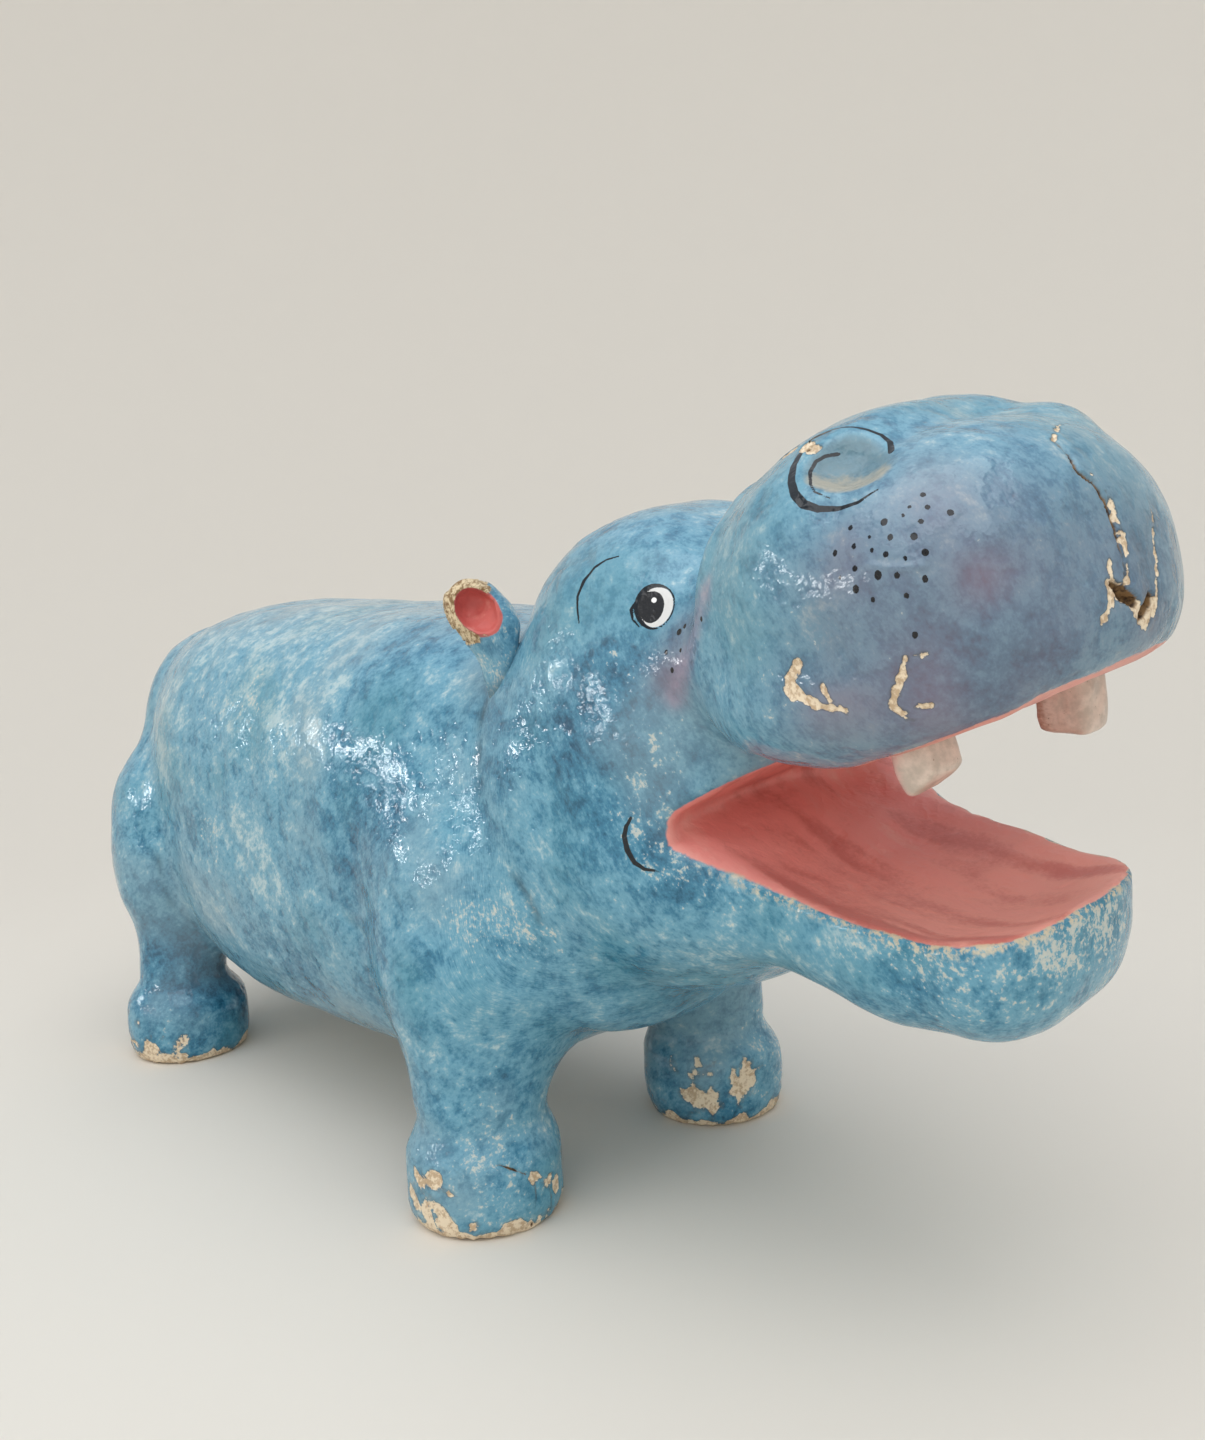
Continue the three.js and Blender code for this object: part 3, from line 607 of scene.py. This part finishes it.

# What the paint reads at each corner: depths inside the painted and broken parts, and soft random
# heights that say where the sponge was full or dry and where painted shade and painted light fall.
# The eye's outline is heavier towards the ear.
head = in_head(points)
white, pupil, glint = eyeball(head)
outline = EYE_OUTLINE - np.abs(white + 0.5) + 0.6 * np.clip((OUTLINE_MIDDLE - head[:, 0]) / 7, -0.6, 1)
nostril_away = np.linalg.norm(mirrored(head) - NOSTRIL, axis=1)
nostril_away += np.where(head[:, 1] > 0, NOSTRIL_RADIUS - LEFT_NOSTRIL_RADIUS, 0)
nostril_low = (mirrored(head) - NOSTRIL) @ NOSTRIL_BOTTOM / NOSTRIL_RADIUS
lees = np.clip((NOSTRIL_RADIUS + 3.5 - nostril_away) / 3, 0, 1) * np.clip(1.5 * nostril_low - 0.2, 0, 1)
# How near each place is to a crease, where painted shade darkens it.
crease = sum(np.exp(-(reach(mirrored(points), line)[0] / (0.5 * width)) ** 2) for line, width, _ in CREASES)
marks = {
    "ink": np.maximum.reduce([brushwork(head), outline, pupil]),
    "white": np.minimum(white, 3),
    "glint": glint,
    "bare": flaked(points, head),
    "hole": broken(head),
    "lining": np.clip(mouth(head), -8, 8),
    "crease": np.clip(crease, 0, 1),
    # The tone carries painted shade low on the belly and legs and painted light on the top of the back.
    "tone": dabbed(mirrored(points), DARK_AND_SHADE_DABS + PALE_AND_LIGHT_DABS)
            + 0.7 * swell(points, 58, 51) + 0.6 * swell(points, 26, 52),
    "hue": swell(points, 66, 53) + 0.5 * swell(points, 24, 54),
    "patchy": swell(points, 30, 55) + 0.6 * swell(points, 14, 56),
    "streak": swell(head * (0.13, 1, 0.6), 15, 57) + 0.7 * swell(head * (0.2, 1, 0.6), 6, 58),
    "worn": dabbed(mirrored(points), WORN_DABS),
    "mauve": dabbed(head, MAUVE_DABS + EYE_SHADOW),
    "blush": np.exp(-(reach(mirrored(head), EYE_CORNER)[0] / BLUSH_WIDTH) ** 2),
    "dish": np.clip((NOSTRIL_RADIUS + 2.5 - nostril_away) / 2, 0, 1),
    "lees": lees,
}


def finished(mesh, points, marks):
    """The piece itself: the mesh's corners at their places, in metres, with the depths and heights that
    its paint reads kept on them by name."""
    mesh.vertices.foreach_set("co", ((points + (AHEAD, 0, 0)) / 1000).ravel())
    for mark, depths in marks.items():
        mesh.attributes.new(mark, "FLOAT", "POINT").data.foreach_set("value", depths.astype(np.float32))
    mesh.polygons.foreach_set("use_smooth", np.ones(len(mesh.polygons), bool))
    mesh.update()
    piece = bpy.data.objects.new(mesh.name, mesh)
    bpy.context.collection.objects.link(piece)
    return piece


skin = finished(mesh, points + outward(shell, points) * modelled(points)[:, None], marks)


class Pigment:
    """One socket of a paint's node tree: operators on it add Math nodes, and node adds any other."""

    def __init__(self, tree, socket=None):
        self.tree, self.socket = tree, socket

    def node(self, kind, settings=(), sockets=(), out=0):
        """Adds a node of a kind, sets its settings, then gives its sockets values or links."""
        made = self.tree.nodes.new(kind)
        for name, value in dict(settings).items():
            setattr(made, name, value)
        for name, value in dict(sockets).items():
            if isinstance(value, Pigment):
                self.tree.links.new(value.socket, made.inputs[name])
            else:
                made.inputs[name].default_value = value
        return Pigment(self.tree, made.outputs[out])

    def maths(self, operation, a, b=0.0, clamped=False):
        """Adds one Math node on a and b."""
        return self.node("ShaderNodeMath", {"operation": operation, "use_clamp": clamped}, {0: a, 1: b})

    def __add__(self, other):
        return self.maths("ADD", self, other)

    def __radd__(self, other):
        return self.maths("ADD", other, self)

    def __sub__(self, other):
        return self.maths("SUBTRACT", self, other)

    def __rsub__(self, other):
        return self.maths("SUBTRACT", other, self)

    def __mul__(self, other):
        return self.maths("MULTIPLY", self, other)

    def __rmul__(self, other):
        return self.maths("MULTIPLY", other, self)

    def clamped(self):
        """The same value, kept between 0 and 1."""
        return self.maths("ADD", self, 0.0, True)

    def between(self, low, high):
        """0 below low, 1 above high, and a smooth step from one to the other."""
        ends = {0: self, 1: low, 2: high, 3: 0.0, 4: 1.0}
        return self.node("ShaderNodeMapRange", {"interpolation_type": "SMOOTHSTEP"}, ends)

    def mark(self, name):
        """A depth or height kept on the mesh's corners under that name."""
        return self.node("ShaderNodeAttribute", {"attribute_name": name}, out="Fac")

    def mottle(self, place, size, detail, roughness, grain=(1, 1, 1), turn=(0, 0, 0)):
        """Random cloud of patches of a size in metres, drawn out along turned axes by the grain."""
        at = self.node(
            "ShaderNodeMapping", {"vector_type": "TEXTURE"},
            {"Vector": place, "Rotation": turn, "Scale": [size * length for length in grain]},
        )
        return self.node(
            "ShaderNodeTexNoise", (), {"Vector": at, "Scale": 1.0, "Detail": detail, "Roughness": roughness}
        )

    def mixed(self, share, a, b):
        """Colour a, covered by colour b as far as the share says."""
        return self.node("ShaderNodeMix", {"data_type": "RGBA"}, {0: share, 6: a, 7: b}, out=2)


def pigment(red, green, blue):
    """A colour named by its three screen values, 0 to 255, as light."""
    level = np.array((red, green, blue)) / 255
    light = np.where(level < 0.04045, level / 12.92, ((level + 0.055) / 1.055) ** 2.4)
    return (*light.tolist(), 1.0)


# The colours, in the order in which they go on.
NIGHT_BLUE, DEEP_BLUE = pigment(24, 78, 108), pigment(58, 122, 152)
SKY_BLUE, PALE_BLUE = pigment(104, 160, 184), pigment(176, 202, 208)
GREY_BLUE, SEA_BLUE, TOP_GREY = pigment(136, 158, 168), pigment(62, 132, 148), pigment(160, 174, 178)
MAUVE, ROSE, BLUSH = pigment(108, 104, 120), pigment(150, 104, 118), pigment(160, 138, 156)
# The crease colour here is painted shade.
RUBBED, CREASE_SHADE = pigment(204, 204, 192), pigment(36, 60, 72)
RED_STREAK, LIGHT_STREAK = pigment(176, 74, 72), pigment(228, 168, 156)
LIP_CHIPS, FLAKE_EDGE = pigment(206, 190, 158), pigment(84, 84, 78)
HOLE_DARK, HOLE_BROWN = pigment(58, 40, 24), pigment(132, 102, 66)
DISH_GREY, DISH_LEES = pigment(94, 116, 124), pigment(184, 172, 148)
EYE_WHITE, INK, GLINT = pigment(214, 214, 212), pigment(8, 9, 14), pigment(240, 240, 238)
SPONGE, BRISTLE, SPECK, FIBRE = 0.012, 0.0028, 0.002, 0.0014
NECK_STARTS, NECK_ENDS, NECK_LOW, NECK_HIGH = 0.07, 0.12, 0.1, 0.16
STROKE_TURN, NECK_TURN, LINING_BACK_AT, LINING_FRONT_AT = -0.65, 1.6, 0.2, 0.345


def paper_paint(name, lining_back, lining_front, paper_shade, paper_tint):
    """Sponged and brushed blues over pale paper, pink lining, black brushwork and a crinkled varnish.
    One level, from the tone mark and three sizes of random cloud, picks the blue; each further colour
    is laid over it as far as its own mark and the clouds say."""
    material = bpy.data.materials.new(name)
    material.use_nodes = True
    tree = material.node_tree
    shader = tree.nodes["Principled BSDF"]
    mix = Pigment(tree)
    place = mix.node("ShaderNodeTexCoord", out="Object")
    along_x, upwards = (mix.node("ShaderNodeSeparateXYZ", (), {0: place}, out=k) for k in (0, 2))
    patchy, hue, streak = mix.mark("patchy"), mix.mark("hue"), mix.mark("streak")

    # The blues: the brush is pulled down and back on the body, and round the neck.
    neck = along_x.between(NECK_STARTS, NECK_ENDS) * upwards.between(NECK_LOW, NECK_HIGH)
    sweep = mix.node("ShaderNodeCombineXYZ", (), {1: NECK_TURN * neck + STROKE_TURN})
    sponge = mix.mottle(place, SPONGE, 4.0, 0.7)
    bristle = mix.mottle(place, BRISTLE, 3.0, 0.7, (2.4, 1.3, 1), sweep)
    speckle = mix.mottle(place, SPECK, 2.0, 0.6)
    grain = 1.5 * (sponge - 0.5) + 0.75 * (bristle - 0.5) + 0.3 * (speckle - 0.5)
    # The tone mark brings in painted shade low on the belly and legs and painted light on the back's top.
    level = 0.5 + 0.19 * mix.mark("tone") + 0.07 * patchy + grain
    blue = mix.mixed(level.between(-0.05, 0.34), NIGHT_BLUE, DEEP_BLUE)
    blue = mix.mixed(level.between(0.26, 0.62), blue, SKY_BLUE)
    blue = mix.mixed(level.between(0.6, 1.0), blue, PALE_BLUE)
    blue = mix.mixed(hue.between(0.0, 1.0) * 0.4, blue, GREY_BLUE)
    blue = mix.mixed(hue.between(-0.1, -1.0) * 0.35, blue, SEA_BLUE)
    # The blue is greyed a little towards the top, more the higher it is.
    blue = mix.mixed(upwards.between(0.22, 0.34) * 0.12, blue, TOP_GREY)

    # The washes of mauve and pink, the places rubbed pale, and painted shade in the creases.
    mauve = (mix.mark("mauve") * (0.3 + 1.4 * sponge)).clamped()
    blue = mix.mixed(mauve * 0.55, blue, MAUVE)
    rosy = mix.mark("mauve") * hue.between(-0.2, 0.6)
    blue = mix.mixed(rosy * 0.25, blue, ROSE)
    blush = (mix.mark("blush") * (0.1 + 1.6 * sponge)).between(0.2, 1.2)
    blue = mix.mixed(blush * 0.6, blue, BLUSH)
    fleck = 0.5 * (bristle + speckle) + 0.35 * (sponge - 0.5)
    worn = (0.17 * mix.mark("worn") + 0.02 * patchy + fleck).between(0.67, 0.78)
    colour = mix.mixed(worn * 0.75, blue, RUBBED)
    colour = mix.mixed((mix.mark("crease") * 0.6).clamped(), colour, CREASE_SHADE)

    # The lining, streaked along the jaw, and the chips along its rim.
    streak = streak + 1.4 * (sponge - 0.5) + 0.8 * (speckle - 0.5)
    front = along_x.between(LINING_BACK_AT, LINING_FRONT_AT)
    lining = mix.mixed((front + 0.35 * streak).clamped(), lining_back, lining_front)
    lining = mix.mixed(streak.between(-0.1, 1.1) * 0.6, lining, RED_STREAK)
    lining = mix.mixed(streak.between(-0.3, -1.1) * 0.4, lining, LIGHT_STREAK)
    edge = mix.mark("lining") + 2.0 * (sponge - 0.5)
    inside = 1 - edge.between(1.2, 1.9)
    colour = mix.mixed(inside, colour, lining)
    rim = edge.between(0.9, 1.6) * (1 - edge.between(2.5, 7.5)) * along_x.between(0.2, 0.26)
    rim = rim * (1 - upwards.between(0.222, 0.238))
    chipped = rim * (fleck + 0.04 * patchy).between(0.44, 0.56)
    colour = mix.mixed(chipped * 0.8, colour, LIP_CHIPS)

    # Bare paper with a darker edge, the dark holes, and the grey dishes of the nostrils.
    bare = mix.mark("bare") + 1.6 * (speckle - 0.5)
    paper = mix.mixed(fleck.between(0.42, 0.56), paper_shade, paper_tint)
    colour = mix.mixed(bare.between(-1.0, -0.1) * 0.4, colour, FLAKE_EDGE)
    torn = bare.between(-0.15, 0.15)
    colour = mix.mixed(torn, colour, paper)
    hole = mix.mark("hole").between(-0.1, 0.4)
    colour = mix.mixed(hole, colour, mix.mixed(fleck.between(0.4, 0.6), HOLE_DARK, HOLE_BROWN))
    dish = mix.mark("dish") * (0.3 + 1.2 * sponge)
    colour = mix.mixed(dish.clamped() * 0.75, colour, DISH_GREY)
    lees = (mix.mark("lees") + 1.2 * (sponge - 0.5)).between(0.3, 0.9)
    colour = mix.mixed(lees * 0.7, colour, DISH_LEES)

    # The eye and the brushwork, last.
    colour = mix.mixed(mix.mark("white").between(-0.2, 0.2), colour, EYE_WHITE)
    ink = (mix.mark("ink") + 0.5 * (speckle - 0.5)).between(-0.12, 0.12)
    colour = mix.mixed(ink * 0.98, colour, INK)
    # The glint is a painted highlight on the pupil.
    colour = mix.mixed(mix.mark("glint").between(-0.15, 0.15), colour, GLINT)
    tree.links.new(colour.socket, shader.inputs["Base Color"])

    # The varnish: glossy on paint, dull on paper and lining, crinkled over folds where a cloud passes
    # its middle, with a step down at each flake.
    rough = 0.16 + 0.03 * patchy + 0.55 * (torn + hole).clamped() + 0.32 * inside
    tree.links.new(rough.socket, shader.inputs["Roughness"])
    shader.inputs["Specular IOR Level"].default_value = 0.45
    crinkle = mix.mottle(place, SPONGE, 3.0, 0.55)
    folds = mix.maths("ABSOLUTE", crinkle - 0.5)
    fibre = mix.mottle(place, FIBRE, 1.0, 0.6, (6, 1, 1), (0, STROKE_TURN, 0))
    height = 0.5 * crinkle - 1.3 * folds + 0.06 * fibre - 0.35 * mix.mark("bare").between(-0.3, 0.3)
    bump = mix.node("ShaderNodeBump", (), {"Strength": 0.75, "Distance": 0.0015, "Height": height})
    tree.links.new(bump.socket, shader.inputs["Normal"])
    return material


THROAT_PINK, TONGUE_PINK = pigment(230, 144, 136), pigment(228, 162, 148)
PAPER_SHADE, PAPER_TINT = pigment(192, 168, 138), pigment(232, 216, 190)
skin.data.materials.append(paper_paint("painted_paper", THROAT_PINK, TONGUE_PINK, PAPER_SHADE, PAPER_TINT))
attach(skin, "root")
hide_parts("hippo")

# The ears: two small cups of cardboard and paper on short stems, pushed into the neck and pasted over.
# They are brick red inside, and the right one's rim is torn back to its brown layers.
EAR_AT, EAR_RADII, EAR_TURN, EAR_TIP, EAR_LEAN = (74, 81, 319), (11, 15, 20.5), 40, -8, 38
EAR_CUP_AT, EAR_CUP_RADII = (8, 0, 1), (10.5, 9, 12.5)
EAR_STEM_FROM, EAR_STEM_TO, EAR_STEM_RADIUS = (-4, 0, -9), (6, -8, -40), 9
EAR_DROP, EAR_SPANS, EAR_STEP = (0, 4, 14), (32, 34, 46), 1.35
TORN_BACK = {-1: -0.25, 1: 0.75}
RIM_PAPER, RIM_PAPER_SLOPE, RIM_PAPER_FROM, CUP_FADE = 3.2, 0.45, -4, 1.2
# The stem is darkened with painted shade low down, where it goes into the neck.
LEDGE_HEIGHT, STEM_SHADE_AT, STEM_SHADE_SIZE = 0.55, -34, 5


def moulded(form, middle, spans, step):
    """A small form's skin, wrapped on a lattice of that step round its middle and settled onto it: its
    points, its patches and which way each point faces."""
    points, patches = wrapped(form, [np.arange(a - r, a + r, step) for a, r in zip(middle, spans)])
    points = settle(form, points, 2)
    return points, patches, outward(form, points)


def ear_frame(side):
    """The ear's middle and the turn that brings its opening from +X outwards and forwards."""
    turn = turned("Z", side * EAR_TURN) @ turned("Y", EAR_TIP) @ turned("X", -side * EAR_LEAN)
    return sided(EAR_AT, side), turn


def ear_cup(p, side):
    """Distance from the hollow of the ear."""
    middle, turn = ear_frame(side)
    return ovoid(p, middle + turn @ EAR_CUP_AT, EAR_CUP_RADII, turn=turn)


def ear(p, side):
    """Distance from one ear: a squared lump, hollowed in front, on a stem that goes down into the neck."""
    middle, turn = ear_frame(side)
    cup = common(ovoid(p, middle, EAR_RADII, 2.2, turn), -ear_cup(p, side), 1.5)
    root = middle + turn @ EAR_STEM_FROM
    return blend(cup, bar(p, root, middle + sided(EAR_STEM_TO, side), EAR_STEM_RADIUS, EAR_STEM_RADIUS), 10)


BRICK_RED, BRICK_PINK = pigment(196, 96, 90), pigment(206, 120, 110)
CARD_BROWN, CARD_PALE = pigment(128, 100, 66), pigment(212, 194, 160)
ear_paint = paper_paint("ear_paint", BRICK_RED, BRICK_PINK, CARD_BROWN, CARD_PALE)
for side, name in zip(SIDES, ("ear_right", "ear_left")):
    middle, turn = ear_frame(side)
    ear_points, patches, facing = moulded(
        lambda p: ear(p, side), middle - sided(EAR_DROP, side), EAR_SPANS, EAR_STEP
    )
    local = (ear_points - middle) @ turn
    cup = ear_cup(ear_points, side)
    # Bare card shows on the front rim, from the torn side upwards, and not down in the cup.
    lean = (0.75 * side * local[:, 1] / 17 + local[:, 2] / 23) / 1.1
    low = np.maximum(RIM_PAPER_FROM - local[:, 2], 0)
    rim = np.minimum(5.5 * (lean - TORN_BACK[side]), RIM_PAPER + RIM_PAPER_SLOPE * local[:, 0] - low)
    bare = rim - CUP_FADE * np.maximum(0.5 - cup, 0)
    bare += 1.3 * swell(ear_points, 4, 31) + 0.6 * swell(ear_points, 1.7, 32)
    bare = np.minimum(bare, 1.5 * cup - 1.0)
    ledges = LEDGE_HEIGHT * np.sign(swell(ear_points * (0.6, 0.6, 1.4), 5, 33)) - 0.4
    relief = 0.5 * swell(ear_points, 8, 34) + 0.2 * swell(ear_points, 3.2, 35) + ledges * (bare > 0)
    ear_points += facing * relief[:, None]
    mesh = bpy.data.meshes.new(name)
    mesh.from_pydata(ear_points.tolist(), [], patches.tolist())
    none = np.zeros(len(ear_points))
    ear_marks = dict.fromkeys(("hue", "mauve", "blush", "dish", "lees"), none)
    ear_marks |= dict.fromkeys(("hole", "ink", "white", "glint"), none + FAR_OUTSIDE)
    ear_piece = finished(mesh, ear_points, ear_marks | {
        "bare": bare, "lining": cup, "tone": none + 0.3, "worn": none + 0.8,
        # Painted shade low on the stem, where it goes into the neck.
        "crease": np.exp(-((local[:, 2] - STEM_SHADE_AT) / STEM_SHADE_SIZE) ** 2),
        "patchy": swell(ear_points, 9, 36), "streak": swell(ear_points, 6, 37),
    })
    ear_piece.data.materials.append(ear_paint)
    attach(ear_piece, "root")
    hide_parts("hippo")

# The tusks: two blunt square pegs of rolled paper, set into the upper gum, painted bone and varnished.
# The right one is cut off slantwise, and the left one is rounded and stained. Each has a place in the
# head's upright, its half sizes, how far it leans, and the slope of its cut end.
TUSKS = [
    ("tusk_right", (318, -57.5, 283), (10, 11, 27), -17, 0.42),
    ("tusk_left", (319, 50.5, 279), (13, 11, 27), -2, -0.06),
]
TUSK_SPANS, TUSK_STEP, TUSK_SQUARENESS, TUSK_EDGE = (24, 20, 36), 1.2, 5, 3


def tusk(p, at, radii, lean, slant):
    """Distance from one tusk: a long lump with squared sides, its end cut by a sloping plane."""
    q, turn = in_head(p), turned("Y", lean)
    local = (q - at) @ turn
    end = -local[:, 2] + slant * local[:, 0] - radii[2] + 2.0 + abs(slant) * 5
    return common(ovoid(q, at, radii, TUSK_SQUARENESS, turn), end, TUSK_EDGE)


BONE_SHADE, BONE, GUM_PINK = pigment(188, 172, 158), pigment(222, 202, 188), pigment(216, 160, 152)
STAIN_BROWN, SPECK_BROWN = pigment(146, 104, 78), pigment(120, 84, 62)


def tusk_paint():
    """Bone paint rubbed thin over pink: stained brown on one side, with small chips and a clear varnish."""
    material = bpy.data.materials.new("tusk_paint")
    material.use_nodes = True
    tree = material.node_tree
    shader = tree.nodes["Principled BSDF"]
    mix = Pigment(tree)
    place = mix.node("ShaderNodeTexCoord", out="Object")
    cloud = mix.mottle(place, 0.009, 4.0, 0.6)
    grain = mix.mottle(place, 0.003, 3.0, 0.6, (1, 1, 0.4))
    colour = mix.mixed(cloud.between(0.35, 0.65), BONE_SHADE, BONE)
    pinker = (mix.mark("pink") + 0.9 * (cloud - 0.5)).between(0.2, 0.9)
    colour = mix.mixed(pinker * 0.8, colour, GUM_PINK)
    stain = (mix.mark("stain") + 1.1 * (grain - 0.5)).between(0.25, 0.95)
    colour = mix.mixed(stain * 0.8, colour, STAIN_BROWN)
    speck = mix.mottle(place, 0.0022, 3.0, 0.65).between(0.66, 0.74)
    colour = mix.mixed(speck * 0.7, colour, SPECK_BROWN)
    tree.links.new(colour.socket, shader.inputs["Base Color"])
    tree.links.new((0.34 + 0.2 * cloud).socket, shader.inputs["Roughness"])
    shader.inputs["Coat Weight"].default_value = 0.6
    shader.inputs["Coat Roughness"].default_value = 0.12
    height = 1.2 * cloud + 0.3 * grain
    bump = mix.node("ShaderNodeBump", (), {"Strength": 0.5, "Distance": 0.0009, "Height": height})
    tree.links.new(bump.socket, shader.inputs["Normal"])
    return material


bone_paint = tusk_paint()
for name, at, radii, lean, slant in TUSKS:
    tusk_points, patches, facing = moulded(
        lambda p: tusk(p, at, radii, lean, slant), out_of_head([at])[0], TUSK_SPANS, TUSK_STEP
    )
    local = (in_head(tusk_points) - at) @ turned("Y", lean)
    relief = 0.5 * swell(tusk_points, 9, 41) + 0.25 * swell(tusk_points, 3.5, 42)
    tusk_points += facing * relief[:, None]
    mesh = bpy.data.meshes.new(name)
    mesh.from_pydata(tusk_points.tolist(), [], patches.tolist())
    backwards = -local[:, 0] / radii[0]
    pink, stained = (0.95, -0.2) if name == "tusk_right" else (0.2, 0.75)
    tusk_piece = finished(mesh, tusk_points, {
        "pink": pink * backwards + 0.35 * (local[:, 2] > -8),
        "stain": stained * backwards - 0.1 - 0.3 * local[:, 2] / radii[2],
    })
    tusk_piece.data.materials.append(bone_paint)
    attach(tusk_piece, "root")
    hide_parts("hippo")

# The floor: a pale sheet of paper that lies flat under the animal and curves up all round it, far
# away: a profile of a flat run, a quarter circle and a wall, turned about the Z axis.
SHEET_FLAT, SHEET_CURVE, SHEET_WALL, SHEET_SIDES = 0.9, 1.5, 2.0, 96
SHEET_WHITE = pigment(223, 218, 209)
arc = np.linspace(0, np.pi / 2, 25)[1:]
bend_run, bend_lift = SHEET_FLAT + SHEET_CURVE * np.sin(arc), SHEET_CURVE * (1 - np.cos(arc))
run = np.concatenate([[0.001, 0.3, SHEET_FLAT], bend_run, [SHEET_FLAT + SHEET_CURVE]])[:, None]
lift = np.concatenate([[0, 0, 0], bend_lift, [SHEET_WALL]])[:, None]
turn = np.linspace(0, 2 * np.pi, SHEET_SIDES, endpoint=False)
sheet_points = np.stack([run * np.cos(turn), run * np.sin(turn), lift + 0 * turn], -1).reshape(-1, 3)
row, column = np.meshgrid(np.arange(len(run) - 1), np.arange(SHEET_SIDES), indexing="ij")
here, following = row * SHEET_SIDES + column, row * SHEET_SIDES + (column + 1) % SHEET_SIDES
sheet_faces = np.stack([here, here + SHEET_SIDES, following + SHEET_SIDES, following], -1).reshape(-1, 4)
sheet_mesh = bpy.data.meshes.new("floor")
sheet_mesh.from_pydata(sheet_points.tolist(), [], sheet_faces.tolist() + [list(range(SHEET_SIDES))])
sheet_mesh.polygons.foreach_set("use_smooth", np.ones(len(sheet_mesh.polygons), bool))
floor = bpy.data.objects.new("floor", sheet_mesh)
bpy.context.collection.objects.link(floor)
sheet_paper = bpy.data.materials.new("floor_paper")
sheet_paper.use_nodes = True
sheet_shader = sheet_paper.node_tree.nodes["Principled BSDF"]
for socket, value in (("Base Color", SHEET_WHITE), ("Roughness", 0.9), ("Specular IOR Level", 0.0)):
    sheet_shader.inputs[socket].default_value = value
floor.data.materials.append(sheet_paper)

# The light: a wide soft lamp overhead and two soft ones that fill the shade without being mirrored in
# the varnish, two small bright panes that are only mirrored in it, and a pale room all round. Each
# lamp has a place, a size, its watts, whether it lights and whether the varnish mirrors it.
LAMPS_FACE, ROOM_COLOUR, ROOM_STRENGTH = Vector((0, 0, 0.2)), (0.9, 0.96, 1.05, 1.0), 0.64
LAMPS = [
    ("overhead", (0.5, -0.4, 2.3), 2.4, 28, True, True),
    ("fill", (-0.4, -2.1, 1.4), 1.5, 10, True, False),
    ("front", (1.7, -1.6, 0.9), 1.6, 20, True, False),
    ("pane", (-0.75, -1.95, 0.4), 0.5, 26, False, True),
    ("left_pane", (-1.65, -1.4, 0.48), 0.5, 26, False, True),
]
for name, at, size, watts, lighting, in_varnish in LAMPS:
    lamp = bpy.data.lights.new(name, "AREA")
    lamp.shape, lamp.size, lamp.energy = "SQUARE", size, watts
    holder = bpy.data.objects.new(name, lamp)
    holder.location = at
    holder.rotation_euler = (LAMPS_FACE - Vector(at)).to_track_quat("-Z", "Y").to_euler()
    holder.visible_camera, holder.visible_diffuse, holder.visible_glossy = False, lighting, in_varnish
    bpy.context.collection.objects.link(holder)
room = bpy.data.worlds.new("room")
room.use_nodes = True
room.node_tree.nodes["Background"].inputs["Color"].default_value = ROOM_COLOUR
room.node_tree.nodes["Background"].inputs["Strength"].default_value = ROOM_STRENGTH
bpy.context.scene.world = room
bpy.context.scene.view_settings.view_transform = "Standard"

# The camera stands ahead of the animal's right shoulder, a little above it, and leans slightly.
CAMERA_AT, CAMERA_TOWARDS, CAMERA_LEAN = (0.6533, -0.5067, 0.3726), (-0.745, 0.649, -0.153), 3.7
camera = bpy.data.objects.new("camera", bpy.data.cameras.new("camera"))
camera.data.lens, camera.data.sensor_width = 36.0, 36.0
camera.matrix_world = (
    Matrix.Translation(CAMERA_AT)
    @ Vector(CAMERA_TOWARDS).to_track_quat("-Z", "Y").to_matrix().to_4x4()
    @ Matrix.Rotation(np.radians(-CAMERA_LEAN), 4, "Z")
)
bpy.context.collection.objects.link(camera)
bpy.context.scene.camera = camera
